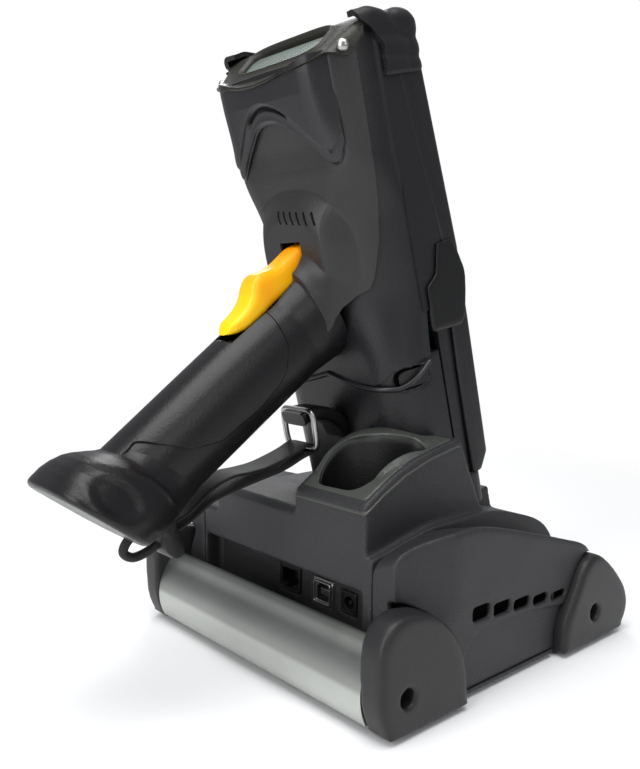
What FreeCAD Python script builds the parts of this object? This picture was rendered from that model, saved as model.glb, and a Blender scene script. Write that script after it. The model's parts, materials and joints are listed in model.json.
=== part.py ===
import FreeCAD, Part
import math
import os

# Portable data terminal with a pistol grip, standing in its charging cradle.
# Millimetres. World frame: +X to the right of a person facing the display, +Y to the
# rear (grip and cradle ports), +Z up, origin on the table under the cradle's middle.
# The terminal is drawn in its own frame: X as above, Y = depth behind the display face,
# Z = height above the tail. terminal() tilts and lifts it into the cradle.

V = FreeCAD.Vector
BIG = 600.0

# Docked pose of the terminal
dock_tilt = 15.7
dock_y = -28.6
dock_z = 72.8

# Clearances
gap = 0.3
pocket_gap = 0.8
pin_gap = 0.05

# Terminal casing
term_length = 231.0
head_half = 45.7
head_depth = 50.0
head_front_r = 9.0
head_corner_r = 10.0
head_flat = 25.7
head_shoulder = 30.0
head_bulge = 5.9
waist_flat = 20.0
waist_shoulder = 26.0
waist_bulge = 4.2
waist_low = 118.0
waist_high = 148.0
shoulder_high = 178.0
tail_half = head_half - 1.7
tail_front = 1.0
tail_depth = 48.0
tail_front_r = 8.0
tail_rear_r = 18.0
tail_length = 104.0
wall = 2.4
inside_depth = 3.6
seam_head = 26.0
seam_tail = 17.0
battery_base = 3.0
battery_top = 82.0
latch_travel = 1.5
pad_height = 1.4
pin_low = -9.5
shield_thick = 1.2
slope_angle = 32.0
slope_depth = 40.0
slope_height = term_length - 5.8
bezel_thick = 3.8
bezel_proud = 0.6
bezel_half = head_half - 4.2
window_half = 27.0
window_width = 14.0
window_thick = 1.6
screw_x = head_half - 6.2
screw_depth = 41.6
screw_drop = 10.6
screw_r = 2.4
screw_head = 1.6

# Rubber guards
boot_thick = 1.7
boot_low = term_length - 25.0
boot_depth = 33.0
collar_thick = 3.6
collar_side_low = term_length - 38.0
collar_tongue_low = term_length - 56.5
collar_mid_low = term_length - 33.0
collar_tongue_x = 32.0
bumper_low = 91.0
bumper_high = 133.0
bumper_proud = 6.0
bumper_side = 1.8
guard_open_half = head_half - 8.7
tail_boot_high = 18.0

# Display, keypad and board
display_half = 30.0
display_low = 132.0
display_high = 204.0
glass_lap = 3.0
glass_thick = 1.1
keypad_half = 31.0
keypad_low = 20.0
keypad_high = 118.0
keypad_lap = 2.5
key_rows = 7
key_columns = 4
key_pitch_x = 15.2
key_pitch_l = 11.4
key_wide = 11.6
key_tall = 7.6
key_proud = 2.0
key_travel = 0.8
first_row = 30.0
power_key_x = 24.0
power_key_height = 124.8
bezel_plate = 1.4
membrane_thick = 1.0
board_depth = 8.0
board_thick = 1.6
board_half = head_half - 6.7
post_radius = 2.6

# Pistol grip, on an axis from the casing to the foot
grip_root_depth = 48.9
grip_root_height = 112.0
grip_foot_depth = 184.0
grip_foot_height = 61.0
grip_root_a = 21.0
grip_root_b = 24.5
grip_mid_a = 17.0
grip_mid_b = 20.5
grip_end_a = 16.6
grip_end_b = 19.0
grip_wall = 2.6
bulkhead_depth = 109.0
grip_skin = 1.6
foot_lean = 38.3
foot_depth = 185.0
foot_height = 66.5
foot_long = 45.0
foot_wide = 54.0
foot_lip = 15.0
foot_neck = 24.0
foot_plate = 1.5
foot_shift = 1.5
neck_socket = 4.0
bell_outer_a = 28.0
bell_outer_b = 30.0
bell_inner_a = 19.5
bell_inner_b = 22.0
bell_height = 8.0
bell_centre = 134.0

# Trigger
trigger_half = 6.6
trigger_space = 1.0
trigger_pivot_depth = 97.0
trigger_pivot_height = 108.5
trigger_pin_r = 1.6
trigger_pin_half = 9.6
lug_half = 5.0
spring_coil_r = 3.0
spring_wire = 0.7
spring_turns = 6
spring_depth = 78.0
spring_top = 124.35
carrier_thick = 2.4

# Hand strap
strap_half = 10.0
strap_x = 2.0
strap_thick = 1.4
ring_wire = 1.8
ring_half = 11.0
ring_low = 50.5
ring_high = 69.0
ring_depth = 71.0
ring_lean = 6.0

# Cradle body
cradle_half = 62.0
cradle_rear = 72.0
cradle_wall = 2.5
base_low = 4.0
base_high = 18.0
recess_low = 25.0
recess_high = 49.0
recess_deep = 10.0
recess_left = -56.0
ridge_left = -12.0
ridge_right = 50.0
ridge_front = 30.0
ridge_top = 77.0
block_left = -58.0
block_top = 108.5
dome_radius = 40.0
dome_top = 111.5
well_floor = 56.0
well_corner_r = 4.4
well_lean = 4.0
fender_outer = 84.0
fender_rear = 72.0
fender_low = 4.0
fender_wall = 2.5
fender_lean = 0.27
vent_count = 6
vent_first_y = 32.0
vent_first_z = 34.0
vent_pitch = 15.0
vent_drop = 6.0
vent_tall = 6.5
led_radius = 2.2
led_x = 48.0
liner_wall = 1.4
socket_deep = 10.0

# Socket openings in the rear recess: left, right, low, high
data_span = (-5.0, 11.0, 31.0, 45.0)
usb_span = (-28.0, -14.0, 30.5, 43.5)
power_span = (-43.5, -33.0, 31.5, 42.5)

# Bars and corner caps
cap_outer = 89.0
cap_inner = 76.0
cap_wall = 3.0
bar_radius = 25.0
bar_wall = 2.2
bar_low_angle = -30.0
bar_high_angle = 58.0
rear_bar_y = 66.5
front_bar_y = -66.5
bar_z = 16.5
cap_low = 2.0
cap_hole_r = 4.0
rear_hole_y = 77.6
front_hole_y = -60.0
hole_z = 17.0
foot_radius = 7.0

grip_run = V(0, grip_foot_depth - grip_root_depth, grip_foot_height - grip_root_height)


def export(name, *solids):
    shape = solids[0] if len(solids) == 1 else Part.makeCompound(list(solids))
    shape.exportStep("parts/" + name + ".step")
    box = shape.BoundBox
    count = len(shape.Solids)
    print("%-22s solids %2d volume %10.1f valid %s y %.1f..%.1f z %.1f..%.1f"
          % (name, count, shape.Volume, shape.isValid(), box.YMin, box.YMax, box.ZMin, box.ZMax))


def box(x0, x1, y0, y1, z0, z1):
    return Part.makeBox(x1 - x0, y1 - y0, z1 - z0, V(x0, y0, z0))


def rod(start, axis, radius, length):
    return Part.makeCylinder(radius, length, start, axis)


def mirrored(shape):
    return shape.mirror(V(0, 0, 0), V(1, 0, 0))


def outline(points):
    return Part.Face(Part.makePolygon(points + [points[0]]))


def side_prism(points, x0, x1):
    """Polygon given as (y, z), drawn out along X."""
    face = outline([V(x0, y, z) for y, z in points])
    return face.extrude(V(x1 - x0, 0, 0))


def rear_prism(points, y0, y1):
    """Polygon given as (x, z), drawn out along Y."""
    face = outline([V(x, y0, z) for x, z in points])
    return face.extrude(V(0, y1 - y0, 0))


def curved_side_prism(curve, closing, x0, x1):
    """Smooth curve through (y, z) points, closed by straight lines through more points."""
    spline = Part.BSplineCurve()
    spline.interpolate([V(x0, y, z) for y, z in curve])
    corners = [curve[-1]] + closing + [curve[0]]
    lines = [Part.makeLine(V(x0, *a), V(x0, *b)) for a, b in zip(corners, corners[1:])]
    face = Part.Face(Part.Wire([spline.toShape()] + lines))
    return face.extrude(V(x1 - x0, 0, 0))


def section(half, front, rear, front_r, rear_r, low, high):
    """Casing section: a rectangle with two front and two rear corner radii, along Z."""
    turn = math.sqrt(0.5)
    corners = [(half, front, front_r, 1, -1), (half, rear, rear_r, 1, 1),
               (-half, rear, rear_r, -1, 1), (-half, front, front_r, -1, -1)]
    starts = []
    edges = []
    for x, y, r, sx, sy in corners:
        centre = V(x - sx * r, y - sy * r, low)
        a = centre + V(0, sy * r, 0)
        b = centre + V(sx * r, 0, 0)
        middle = centre + V(sx * r * turn, sy * r * turn, 0)
        first, last = (a, b) if sx * sy < 0 else (b, a)
        edges.append(Part.Arc(first, middle, last).toShape())
        starts.append((first, last))
    loop = []
    for i, arc in enumerate(edges):
        loop.append(arc)
        loop.append(Part.makeLine(starts[i][1], starts[(i + 1) % 4][0]))
    return Part.Face(Part.Wire(loop)).extrude(V(0, 0, high - low))


def casing_wire(grow, height, flat, shoulder, bulge):
    """Casing section with straight sides, then a full curve from each side to the flat back."""
    half = head_half + grow
    front = -grow
    back = head_depth + grow
    corner = head_front_r + grow
    inner = corner * (1 - math.sqrt(0.5))
    chord = V(half - flat, 0, 0) - V(0, back - shoulder, 0)
    out = V(-chord.y, chord.x, 0).normalize() * bulge
    right = [V(corner - half, front, height), V(half - corner, front, height),
             V(half - inner, front + inner, height), V(half, front + corner, height),
             V(half, shoulder, height),
             V((half + flat) / 2, (back + shoulder) / 2, height) + V(abs(out.x), abs(out.y), 0),
             V(flat, back, height)]
    left = [V(-p.x, p.y, p.z) for p in right[::-1]]
    edges = [Part.makeLine(right[0], right[1]), Part.Arc(right[1], right[2], right[3]).toShape(),
             Part.makeLine(right[3], right[4]), Part.Arc(right[4], right[5], right[6]).toShape(),
             Part.makeLine(right[6], left[0]), Part.Arc(left[0], left[1], left[2]).toShape(),
             Part.makeLine(left[2], left[3]), Part.Arc(left[3], left[4], left[5]).toShape()]
    return Part.Wire(edges)


def head_form(grow, low, high):
    """Upper casing: full at the battery and the head, drawn in at the waist by the trigger."""
    full = (head_flat, head_shoulder, head_bulge)
    slim = (waist_flat, waist_shoulder, waist_bulge)
    stations = [(-20.0, full), (battery_top, full), (waist_low, slim), (waist_high, slim),
                (shoulder_high, full), (term_length + 60.0, full)]
    spans = []
    for (z0, form0), (z1, form1) in zip(stations, stations[1:]):
        wires = [casing_wire(grow, z0, *form0), casing_wire(grow, z1, *form1)]
        spans.append(Part.makeLoft(wires, True, True))
    shape = spans[0].multiFuse(spans[1:]).removeSplitter()
    shape = shape.common(box(-BIG, BIG, -BIG, BIG, low, min(high, term_length + 59.0)))
    if high > term_length - head_corner_r:
        turn = V(-BIG, head_corner_r, term_length - head_corner_r)
        corner = box(-BIG, BIG, -BIG, turn.y, turn.z, BIG)
        shape = shape.cut(corner.cut(rod(turn, V(1, 0, 0), head_corner_r + grow, 2 * BIG)))
    return shape


def tail_form(grow, low, high):
    return section(tail_half + grow, tail_front - grow, tail_depth + grow,
                   tail_front_r + grow, tail_rear_r + grow, low, high)


def depth_slab(y0, y1, z0=-BIG, z1=BIG):
    return box(-BIG, BIG, y0, y1, z0, z1)


def on_slope(shape):
    """From flat (Z = outward) to the sloping window face at the head."""
    shape.rotate(V(0, 0, 0), V(1, 0, 0), -slope_angle)
    shape.translate(V(0, slope_depth, slope_height))
    return shape


def above_slope(height):
    return on_slope(box(-BIG, BIG, -BIG, BIG, height, BIG))


def terminal(shape):
    """From the terminal's own frame into the cradle."""
    moved = shape.copy()
    moved.rotate(V(0, 0, 0), V(1, 0, 0), -dock_tilt)
    moved.translate(V(0, dock_y, dock_z))
    return moved


def grip_point(share):
    return V(0, grip_root_depth, grip_root_height) + grip_run * share


def ellipse_wire(centre, normal, a, b):
    """Ellipse with semi-axis a along X and b in the plane of symmetry."""
    unit = V(normal).normalize()
    across = V(1, 0, 0).cross(unit)
    if a < b:
        curve = Part.Ellipse(centre + across * b, centre - V(a, 0, 0), centre)
        return Part.Wire(curve.toShape())
    curve = Part.Ellipse(centre + V(a, 0, 0), centre + across * b, centre)
    return Part.Wire(Part.ArcOfEllipse(curve, math.pi / 2, math.pi * 2.5).toShape())


def grip_form(inset, start=0.0, end=1.0):
    """Tapering grip round its axis; the first station is square to the casing."""
    stations = [(start, grip_root_a, grip_root_b), (0.16, grip_mid_a + 0.6, grip_mid_b + 0.5),
                (0.5, grip_mid_a, grip_mid_b), (end, grip_end_a, grip_end_b)]
    wires = [ellipse_wire(grip_point(s), grip_run, a - inset, b - inset) for s, a, b in stations]
    return Part.makeLoft(wires, True, False)


def foot_frame(shape):
    """From flat (Z = out of the sole, Y = along the sole) to the grip's foot."""
    shape.rotate(V(0, 0, 0), V(1, 0, 0), -(90.0 + foot_lean))
    shape.translate(V(0, foot_depth, foot_height))
    return shape


def rounded_plate(half_x, half_y, radius, low, high):
    return section(half_x, -half_y, half_y, radius, radius, low, high)


def trigger_back():
    return [(105.5, 116.4), (99.0, 117.6), (92.0, 119.2), (85.4, 121.6), (79.5, 124.4), (72.0, 127.0),
            (66.2, 128.4), (60.7, 130.8), (57.0, 135.4), (54.0, 140.0)]


def trigger_front():
    return [(50.5, 142.9), (57.0, 141.4), (65.6, 138.6), (74.4, 136.8), (79.8, 136.0), (84.2, 132.8),
            (87.1, 128.6), (92.6, 123.2), (99.6, 119.6)]


def trigger_clearance():
    """Space under the trigger for its pull, through casing, bell and grip."""
    half = trigger_half + trigger_space
    under = [(44.5, 131.0), (56.0, 122.0), (70.0, 119.0), (86.0, 113.5), (90.0, 117.6)]
    profile = [(44.5, 147.0), (60.0, 147.0), (88.0, 142.0)] + under[::-1]
    slot = [(86.0, 124.0), (86.0, 104.0), (104.5, 102.5), (105.0, 118.0)]
    wide = side_prism(profile, -half, half)
    return wide.fuse(side_prism(slot, -lug_half - gap, lug_half + gap))


def shell_cut():
    """Hollow inside the two casing halves, from the display wall to the rear wall."""
    head = head_form(-wall - shield_thick, tail_length + wall, term_length - wall - shield_thick)
    head = head.cut(above_slope(-bezel_thick - wall + bezel_proud))
    tail = tail_form(-wall, wall, tail_length + 2 * wall)
    return head.fuse(tail)


def front_housing():
    head = head_form(0, tail_length, term_length).common(depth_slab(-BIG, seam_head))
    tail = tail_form(0, 0, tail_length).common(depth_slab(-BIG, seam_tail))
    shape = head.fuse(tail).cut(shell_cut())
    shape = shape.cut(box(-display_half, display_half, -BIG, wall + 2, display_low, display_high))
    lap = glass_lap
    shape = shape.cut(box(-display_half - lap, display_half + lap, -BIG, glass_thick + gap,
                          display_low - lap, display_high + lap))
    shape = shape.cut(box(-keypad_half, keypad_half, -BIG, wall + 3, keypad_low, keypad_high))
    lap = keypad_lap
    shape = shape.cut(box(-keypad_half - lap, keypad_half + lap, -BIG, tail_front + bezel_plate,
                          keypad_low - lap, keypad_high + lap))
    key_room = rounded_plate(4.5 + gap, 2.2 + gap, 2.1 + gap, -3, 6)
    key_room.rotate(V(0, 0, 0), V(1, 0, 0), -90)
    key_room.translate(V(power_key_x, 0, power_key_height))
    shape = shape.cut(key_room)
    for height in (14.0, 0.5 * (keypad_high + display_low) + 1.5, term_length - 10.0):
        for side in (-1, 1):
            post = rod(V(side * (board_half - 4), wall - 0.6, height), V(0, 1, 0), post_radius,
                       board_depth - wall + 0.6)
            shape = shape.fuse(post)
    return shape.removeSplitter()


def rear_housing():
    inset = -shield_thick
    head = head_form(inset, battery_top + 2, term_length + inset).common(depth_slab(seam_head, BIG))
    low = tail_form(inset, battery_top + 2, tail_length).common(depth_slab(seam_tail, seam_head + 1))
    shape = head.fuse(low).cut(above_slope(bezel_proud - bezel_thick))
    shape = shape.cut(shell_cut().common(depth_slab(-BIG, BIG, battery_top + 2 + wall)))
    window = box(-window_half + 3, window_half - 3, -7, 7, -20, 20)
    shape = shape.cut(on_slope(window))
    for slot in speaker_slots():
        shape = shape.cut(slot)
    shape = shape.cut(rod(V(0, 30, grip_root_height), V(0, 1, 0), 7.0, 30))
    for side in (-1, 1):
        shape = shape.cut(terminal_screw(side))
    return shape.cut(trigger_clearance()).removeSplitter()


def speaker_slots():
    slots = []
    for i in range(6):
        slot = box(-0.8, 0.8, 40, 62, -4.2, 4.2)
        slot.rotate(V(0, 0, 0), V(0, 1, 0), 8)
        slot.translate(V(11.0 - 4.4 * i, 0, 155.5))
        slots.append(slot)
    return slots


def shield_region():
    """Rear shield outline: side edges that sweep back, and a point under the grip."""
    side = side_prism([(18.0, 212.0), (35.0, 177.0), (41.0, 158.0), (48.0, 121.0), (48.0, 60.0),
                       (BIG, 60.0), (BIG, 212.0)], -BIG, BIG)
    front = rear_prism([(-60, 240), (-60, 121), (-41, 121), (0, 99), (41, 121), (60, 121),
                        (60, 240)], -BIG, BIG)
    return side.common(front)


def bell():
    """Flared shroud round the root of the grip and the trigger."""
    wires = []
    for share, rise in ((0.0, 0.0), (0.45, 0.30), (1.0, 1.0)):
        a = bell_outer_a + (bell_inner_a - bell_outer_a) * share
        b = bell_outer_b + (bell_inner_b - bell_outer_b) * share
        y = head_depth - 0.8 + bell_height * rise
        wires.append(ellipse_wire(V(0, y, bell_centre - 6 * share), V(0, 1, 0), a, b))
    return Part.makeLoft(wires, True, False)


def shield_cover():
    skin = head_form(0, 90, boot_low + 6).common(depth_slab(seam_head - 10, BIG))
    skin = skin.cut(head_form(-shield_thick, 80, BIG)).common(shield_region())
    skin = skin.cut(collar_region())
    skin = skin.cut(front_block())
    cap = bell().cut(head_form(-shield_thick, 80, BIG))
    shape = skin.fuse(cap)
    for slot in speaker_slots():
        shape = shape.cut(slot)
    shape = shape.cut(trigger_clearance())
    return shape.cut(grip_form(-0.1))


def front_block():
    return box(-BIG, BIG, -BIG, seam_head, -BIG, BIG)


def collar_region():
    """Lower edge of the head collar with its two tongues, seen from the rear."""
    x = collar_tongue_x
    half = [(0, collar_mid_low), (10, collar_mid_low - 3.5), (20, 184.0), (27, 178.0),
            (x, collar_tongue_low), (x + 5, 177.5), (x + 7, collar_side_low), (80, collar_side_low)]
    left = [(-px, pz) for px, pz in half[:0:-1]]
    return rear_prism(left + half + [(80, 300), (-80, 300)], boot_depth, BIG)


def head_collar():
    shape = head_form(collar_thick, 160, term_length + 6)
    shape = shape.cut(head_form(0, 150, BIG)).common(collar_region())
    for side in (-1, 1):
        shape = shape.cut(terminal_screw(side))
    return shape.cut(above_slope(bezel_proud)).removeSplitter()


def window_bezel():
    shape = head_form(0, 190, term_length).cut(above_slope(bezel_proud))
    shape = shape.common(above_slope(bezel_proud - bezel_thick))
    shape = shape.common(box(-bezel_half, bezel_half, 28.0, BIG, 0, BIG))
    opening = rounded_plate(window_half, window_width / 2, 5.0, -20, 20)
    for side in (-1, 1):
        shape = shape.cut(terminal_screw(side))
    return shape.cut(on_slope(opening)).removeSplitter()


def scan_window():
    plate = rounded_plate(window_half - 0.1, window_width / 2 - 0.1, 4.9,
                          bezel_proud - bezel_thick + 0.1, bezel_proud - bezel_thick + 0.1 + window_thick)
    return on_slope(plate)


def scan_engine():
    rear = head_depth - shield_thick - wall
    shape = box(-15, 15, rear - 19, rear, 193, 213).cut(above_slope(-bezel_thick - wall))
    return shape


def top_boot():
    shape = head_form(boot_thick, boot_low, term_length + boot_thick)
    shape = shape.common(depth_slab(-BIG, boot_depth)).cut(head_form(0, 0, term_length))
    shape = shape.cut(box(-guard_open_half, guard_open_half, -BIG, 2, 0, display_high + 8))
    for side in (-1, 1):
        for k in range(3):
            x = side * (head_half + boot_thick)
            rib = box(x - 0.7, x + 0.7, 2.0, boot_depth - 3, boot_low + 4 + 4 * k, boot_low + 5.6 + 4 * k)
            shape = shape.cut(rib)
    return shape.removeSplitter()


def mid_bumper():
    """Rubber band round the sides and front, thickest at its middle."""
    half = head_half + bumper_side
    middle = 0.5 * (bumper_low + bumper_high)
    profile = [(seam_head - 3, bumper_low + 2), (2, bumper_low), (-2.0, bumper_low + 4),
               (-bumper_proud, middle), (-bumper_proud, middle + 5), (-2.0, bumper_high - 4),
               (0, bumper_high), (12, bumper_high), (seam_head - 10, bumper_high - 14),
               (seam_head - 3, bumper_high - 18)]
    shape = side_prism(profile, -half, half)
    shape = shape.cut(head_form(0, tail_length, BIG))
    shape = shape.cut(tail_form(0, 0, tail_length))
    shape = shape.cut(box(-guard_open_half, guard_open_half, -BIG, BIG, 0, BIG))
    return shape.removeSplitter()


def tail_boot():
    shape = tail_form(boot_thick, 0, tail_boot_high).common(depth_slab(-BIG, seam_tail))
    shape = shape.cut(tail_form(0, -BIG, BIG))
    shape = shape.cut(box(12 - tail_half, tail_half - 12, -BIG, BIG, -BIG, BIG))
    return shape.removeSplitter()


def display_glass():
    lap = glass_lap - gap
    return box(-display_half - lap, display_half + lap, gap, glass_thick + gap,
               display_low - lap, display_high + lap)


def display_module():
    return box(-display_half - 3, display_half + 3, inside_depth, board_depth, display_low - 3,
               display_high + 5)


def key_centres(row):
    first = -0.5 * (key_columns - 1) * key_pitch_x
    return [(first + key_pitch_x * k, first_row + key_pitch_l * row) for k in range(key_columns)]


def keypad_frame():
    lap = keypad_lap - 0.1
    shape = box(-keypad_half - lap, keypad_half + lap, tail_front, tail_front + bezel_plate,
                keypad_low - lap, keypad_high + lap)
    for row in range(key_rows):
        for x, z in key_centres(row):
            hole = rounded_key(x, z, gap)
            shape = shape.cut(hole)
    return shape


def rounded_key(x, z, grow):
    wide = key_wide + 2 * grow
    tall = key_tall + 2 * grow
    radius = 2.4 + grow
    back = inside_depth - tail_front - key_travel - pin_gap
    shape = section(wide / 2, -tall / 2, tall / 2, radius, radius, -key_proud, back + grow)
    shape.rotate(V(0, 0, 0), V(1, 0, 0), -90)
    shape.translate(V(x, tail_front, z))
    return shape


def power_key():
    shape = section(4.5, -2.2, 2.2, 2.1, 2.1, -1.2, wall + 0.8)
    shape.rotate(V(0, 0, 0), V(1, 0, 0), -90)
    shape.translate(V(power_key_x, 0, power_key_height))
    return shape


def key_row(row):
    return [rounded_key(x, z, 0) for x, z in key_centres(row)]


def keypad_membrane():
    return box(-keypad_half - 1.5, keypad_half + 1.5, inside_depth, inside_depth + membrane_thick,
               keypad_low - 1.5, keypad_high + 1.5)


def main_board():
    return box(-board_half, board_half, board_depth, board_depth + board_thick, 6, term_length - 6)


def battery_pack():
    shape = tail_form(-0.2, battery_base, battery_top + 2)
    shape = shape.common(depth_slab(seam_tail + 0.1, BIG))
    shape = shape.cut(box(-BIG, BIG, seam_tail + 4, BIG, -BIG, battery_base + 1))
    for side in (-1, 1):
        shape = shape.cut(latch_form(side, gap))
    shape = shape.cut(box(-16, 16, 20, 34, -BIG, battery_base + 6))
    return shape.removeSplitter()


def latch_form(side, grow):
    """Ridged oval button in the shoulder of the battery; grown, it is the room for its travel."""
    inner = -(latch_travel + grow) if grow else 0
    plate = section(4.0 + grow, -8.0 - grow, 8.0 + grow, 3.9 + grow, 3.9 + grow, inner, 4.6 + grow)
    plate.rotate(V(0, 0, 0), V(0, 1, 0), 90)
    plate.translate(V(tail_half - 5.2, 34.5, battery_top - 6))
    if grow == 0:
        plate = plate.common(tail_form(-0.3, 0, BIG))
    return plate if side > 0 else mirrored(plate)


def dock_connector():
    """Flat contact pads in the tail; the cradle's sprung pins press on them."""
    return box(-15.8, 15.8, 20.2, 33.8, pad_height, battery_base + 5.8)


def terminal_screw(side):
    """Screw through the ear of the window bezel, square to the rounded side."""
    axis = V(side, 0.5, 0.25)
    start = V(side * screw_x, screw_depth, term_length - screw_drop)
    shank = rod(start - axis * 2.2, axis, screw_r / 2, 3.0)
    return rod(start, axis, screw_r, screw_head).fuse(shank)


def foot_top_cut(extra):
    """Everything beyond the foot's neck plane."""
    return foot_frame(box(-BIG, BIG, -BIG, BIG, -foot_neck + extra, BIG))


def grip_skin_region():
    """Side view of the soft front skin of the grip, from under the trigger to the neck."""
    seam = [(84.0, 121.0), (86.5, 97.0), (92.0, 90.5), (107.0, 83.0), (132.0, 75.5), (146.0, 77.0),
            (160.0, 86.0), (176.0, 99.0)]
    spline = Part.BSplineCurve()
    spline.interpolate([V(-60, y, z) for y, z in seam])
    corners = [seam[-1], (176.0, 140.0), (84.0, 140.0), seam[0]]
    lines = [Part.makeLine(V(-60, *a), V(-60, *b)) for a, b in zip(corners, corners[1:])]
    return Part.Face(Part.Wire([spline.toShape()] + lines)).extrude(V(120, 0, 0))


def pivot(x=0.0):
    return V(x, trigger_pivot_depth, trigger_pivot_height)


def carrier_top(depth):
    """Height of the trigger carrier's upper face inside the grip, at a depth."""
    return 110.5 - 0.32 * (depth - 58.0)


def trigger_carrier():
    """Shelf across the inside of the grip that holds the return spring and the switch."""
    top = [(58.0, carrier_top(58.0)), (90.0, carrier_top(90.0))]
    low = [(y, z - carrier_thick) for y, z in top[::-1]]
    return side_prism(top + low, -30, 30).common(grip_form(grip_skin + 0.5))


def handle_shell():
    shape = grip_form(0).cut(foot_top_cut(0)).cut(head_form(-shield_thick, 60, 200))
    shape = shape.cut(grip_form(0).cut(grip_form(grip_skin)).common(grip_skin_region()))
    hollow = grip_form(grip_wall + grip_skin, 0.06, 1.0)
    shape = shape.cut(hollow.cut(depth_slab(bulkhead_depth, bulkhead_depth + grip_wall)))
    shape = shape.cut(trigger_clearance()).fuse(trigger_carrier())
    for side in (-1, 1):
        boss = rod(pivot(side * (lug_half + gap + 1.0)), V(side, 0, 0), 3.6, 9.0)
        shape = shape.fuse(boss.common(grip_form(grip_skin)))
    return shape.cut(trigger_pin())


def handle_grip():
    skin = grip_form(0).cut(grip_form(grip_skin)).common(grip_skin_region())
    skin = skin.cut(foot_top_cut(-2.0)).cut(head_form(0, 60, 200))
    return skin.cut(trigger_clearance()).cut(trigger_pin())


def handle_foot():
    """Flared foot: oval neck that widens to a rounded, slightly thick sole."""
    neck = ellipse_wire(V(0, foot_shift, -foot_neck), V(0, 0, 1), grip_end_a + 0.4, grip_end_b + 0.9)
    wide = ellipse_wire(V(0, 0, -foot_lip), V(0, 0, 1), foot_wide / 2 - 3, foot_long / 2 - 1)
    flare = Part.makeLoft([neck, wide], True, True)
    sole_top = rounded_plate(foot_wide / 2, foot_long / 2, 18, -foot_lip, 0)
    shape = flare.fuse(sole_top)
    shape = shape.cut(rounded_plate(foot_wide / 2 - 3, foot_long / 2 - 3, 15, -foot_plate - 1, 1))
    shape = shape.cut(rod(V(0, 1, -foot_neck - 1), V(0, 0, 1), 13.0, neck_socket + 1))
    return foot_frame(shape)


def foot_plug():
    plate = rounded_plate(foot_wide / 2 - 3 - gap / 2, foot_long / 2 - 3 - gap / 2, 14.8,
                          -foot_plate - 1, -0.5)
    return foot_frame(plate)


def trigger():
    shape = side_prism(trigger_front() + trigger_back(), -trigger_half, trigger_half)
    y, z = trigger_pivot_depth, trigger_pivot_height
    lug = side_prism([(y - 5, z + 10.5), (y - 5, z - 1), (y - 2, z - 4), (y + 2, z - 4), (y + 4.5, z - 1),
                      (y + 5.5, z + 8.5)], -lug_half, lug_half)
    bore = rod(pivot(-20), V(1, 0, 0), trigger_pin_r + pin_gap, 40)
    return shape.fuse(lug).cut(bore).removeSplitter()


def trigger_pin():
    return rod(pivot(-trigger_pin_half), V(1, 0, 0), trigger_pin_r, 2 * trigger_pin_half)


def trigger_spring():
    """Return spring between the carrier and the back of the trigger."""
    low = carrier_top(spring_depth) + spring_wire / 2 + 0.1
    length = spring_top - low
    quarters = 4 * spring_turns
    edges = []
    for k in range(quarters):
        points = []
        for step in (k, k + 0.5, k + 1):
            turn = step * math.pi / 2
            points.append(V(spring_coil_r * math.cos(turn), spring_coil_r * math.sin(turn),
                            length * step / quarters))
        edges.append(Part.Arc(*points).toShape())
    path = Part.Wire(edges)
    start = edges[0].Curve.tangent(edges[0].FirstParameter)[0]
    circle = Part.Wire(Part.makeCircle(spring_wire / 2, V(spring_coil_r, 0, 0), start))
    coil = path.makePipeShell([circle], True, False)
    coil.translate(V(0, spring_depth, low))
    return coil


def trigger_switch():
    """Small push switch that stands on the carrier."""
    body = box(-3, 3, 62, 69, carrier_top(69.0) - 0.1, 121.5).cut(trigger_carrier())
    return body.fuse(rod(V(0, 65.5, 121), V(0, 0, 1), 1.2, 4.0))


def strap_layers(points, thick, half, offset):
    """Flat webbing: a strip of constant thickness along straight runs in (y, z)."""
    upper = []
    lower = []
    for i, (y, z) in enumerate(points):
        before = points[max(i - 1, 0)]
        after = points[min(i + 1, len(points) - 1)]
        run = V(0, after[0] - before[0], after[1] - before[1]).normalize()
        side = V(0, -run.z, run.y)
        upper.append((y + side.y * thick / 2, z + side.z * thick / 2))
        lower.append((y - side.y * thick / 2, z - side.z * thick / 2))
    return side_prism(upper + lower[::-1], offset - half, offset + half)


def strap_tab():
    """Padded tab that holds the ring to the battery side of the casing."""
    points = [(48.6, 50.0), (55.0, 57.0), (61.0, 61.5), (68.0, 64.5), (76.0, 65.5)]
    return strap_layers(points, 3.6, strap_half, strap_x).cut(tail_form(-0.2, 0, tail_length))


def strap_ring():
    """Closed wire loop, a rectangle with bent corners."""
    height = math.hypot(ring_high - ring_low, ring_lean)
    bent = ring_wire
    path = []
    right, top = ring_half - bent, height / 2 - bent
    turn = bent * math.sqrt(0.5)
    corners = [(right, top, 1, 1), (-right, top, -1, 1), (-right, -top, -1, -1), (right, -top, 1, -1)]
    for i, (x, z, sx, sz) in enumerate(corners):
        side = V(x + sx * bent, 0, z)
        end = V(x, 0, z + sz * bent)
        first, last = (side, end) if sx * sz > 0 else (end, side)
        path.append(Part.Arc(first, V(x + sx * turn, 0, z + sz * turn), last).toShape())
    lines = [Part.makeLine(path[i].Vertexes[1].Point, path[(i + 1) % 4].Vertexes[0].Point) for i in range(4)]
    edges = [edge for pair in zip(path, lines) for edge in pair]
    start = path[0].Vertexes[0].Point
    circle = Part.Wire(Part.makeCircle(ring_wire / 2, start, V(0, 0, 1)))
    ring = Part.Wire(edges).makePipeShell([circle], True, False)
    ring.rotate(V(0, 0, 0), V(1, 0, 0), -math.degrees(math.atan2(ring_lean, ring_high - ring_low)))
    ring.translate(V(strap_x, ring_depth + ring_lean / 2, (ring_low + ring_high) / 2))
    return ring


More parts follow.
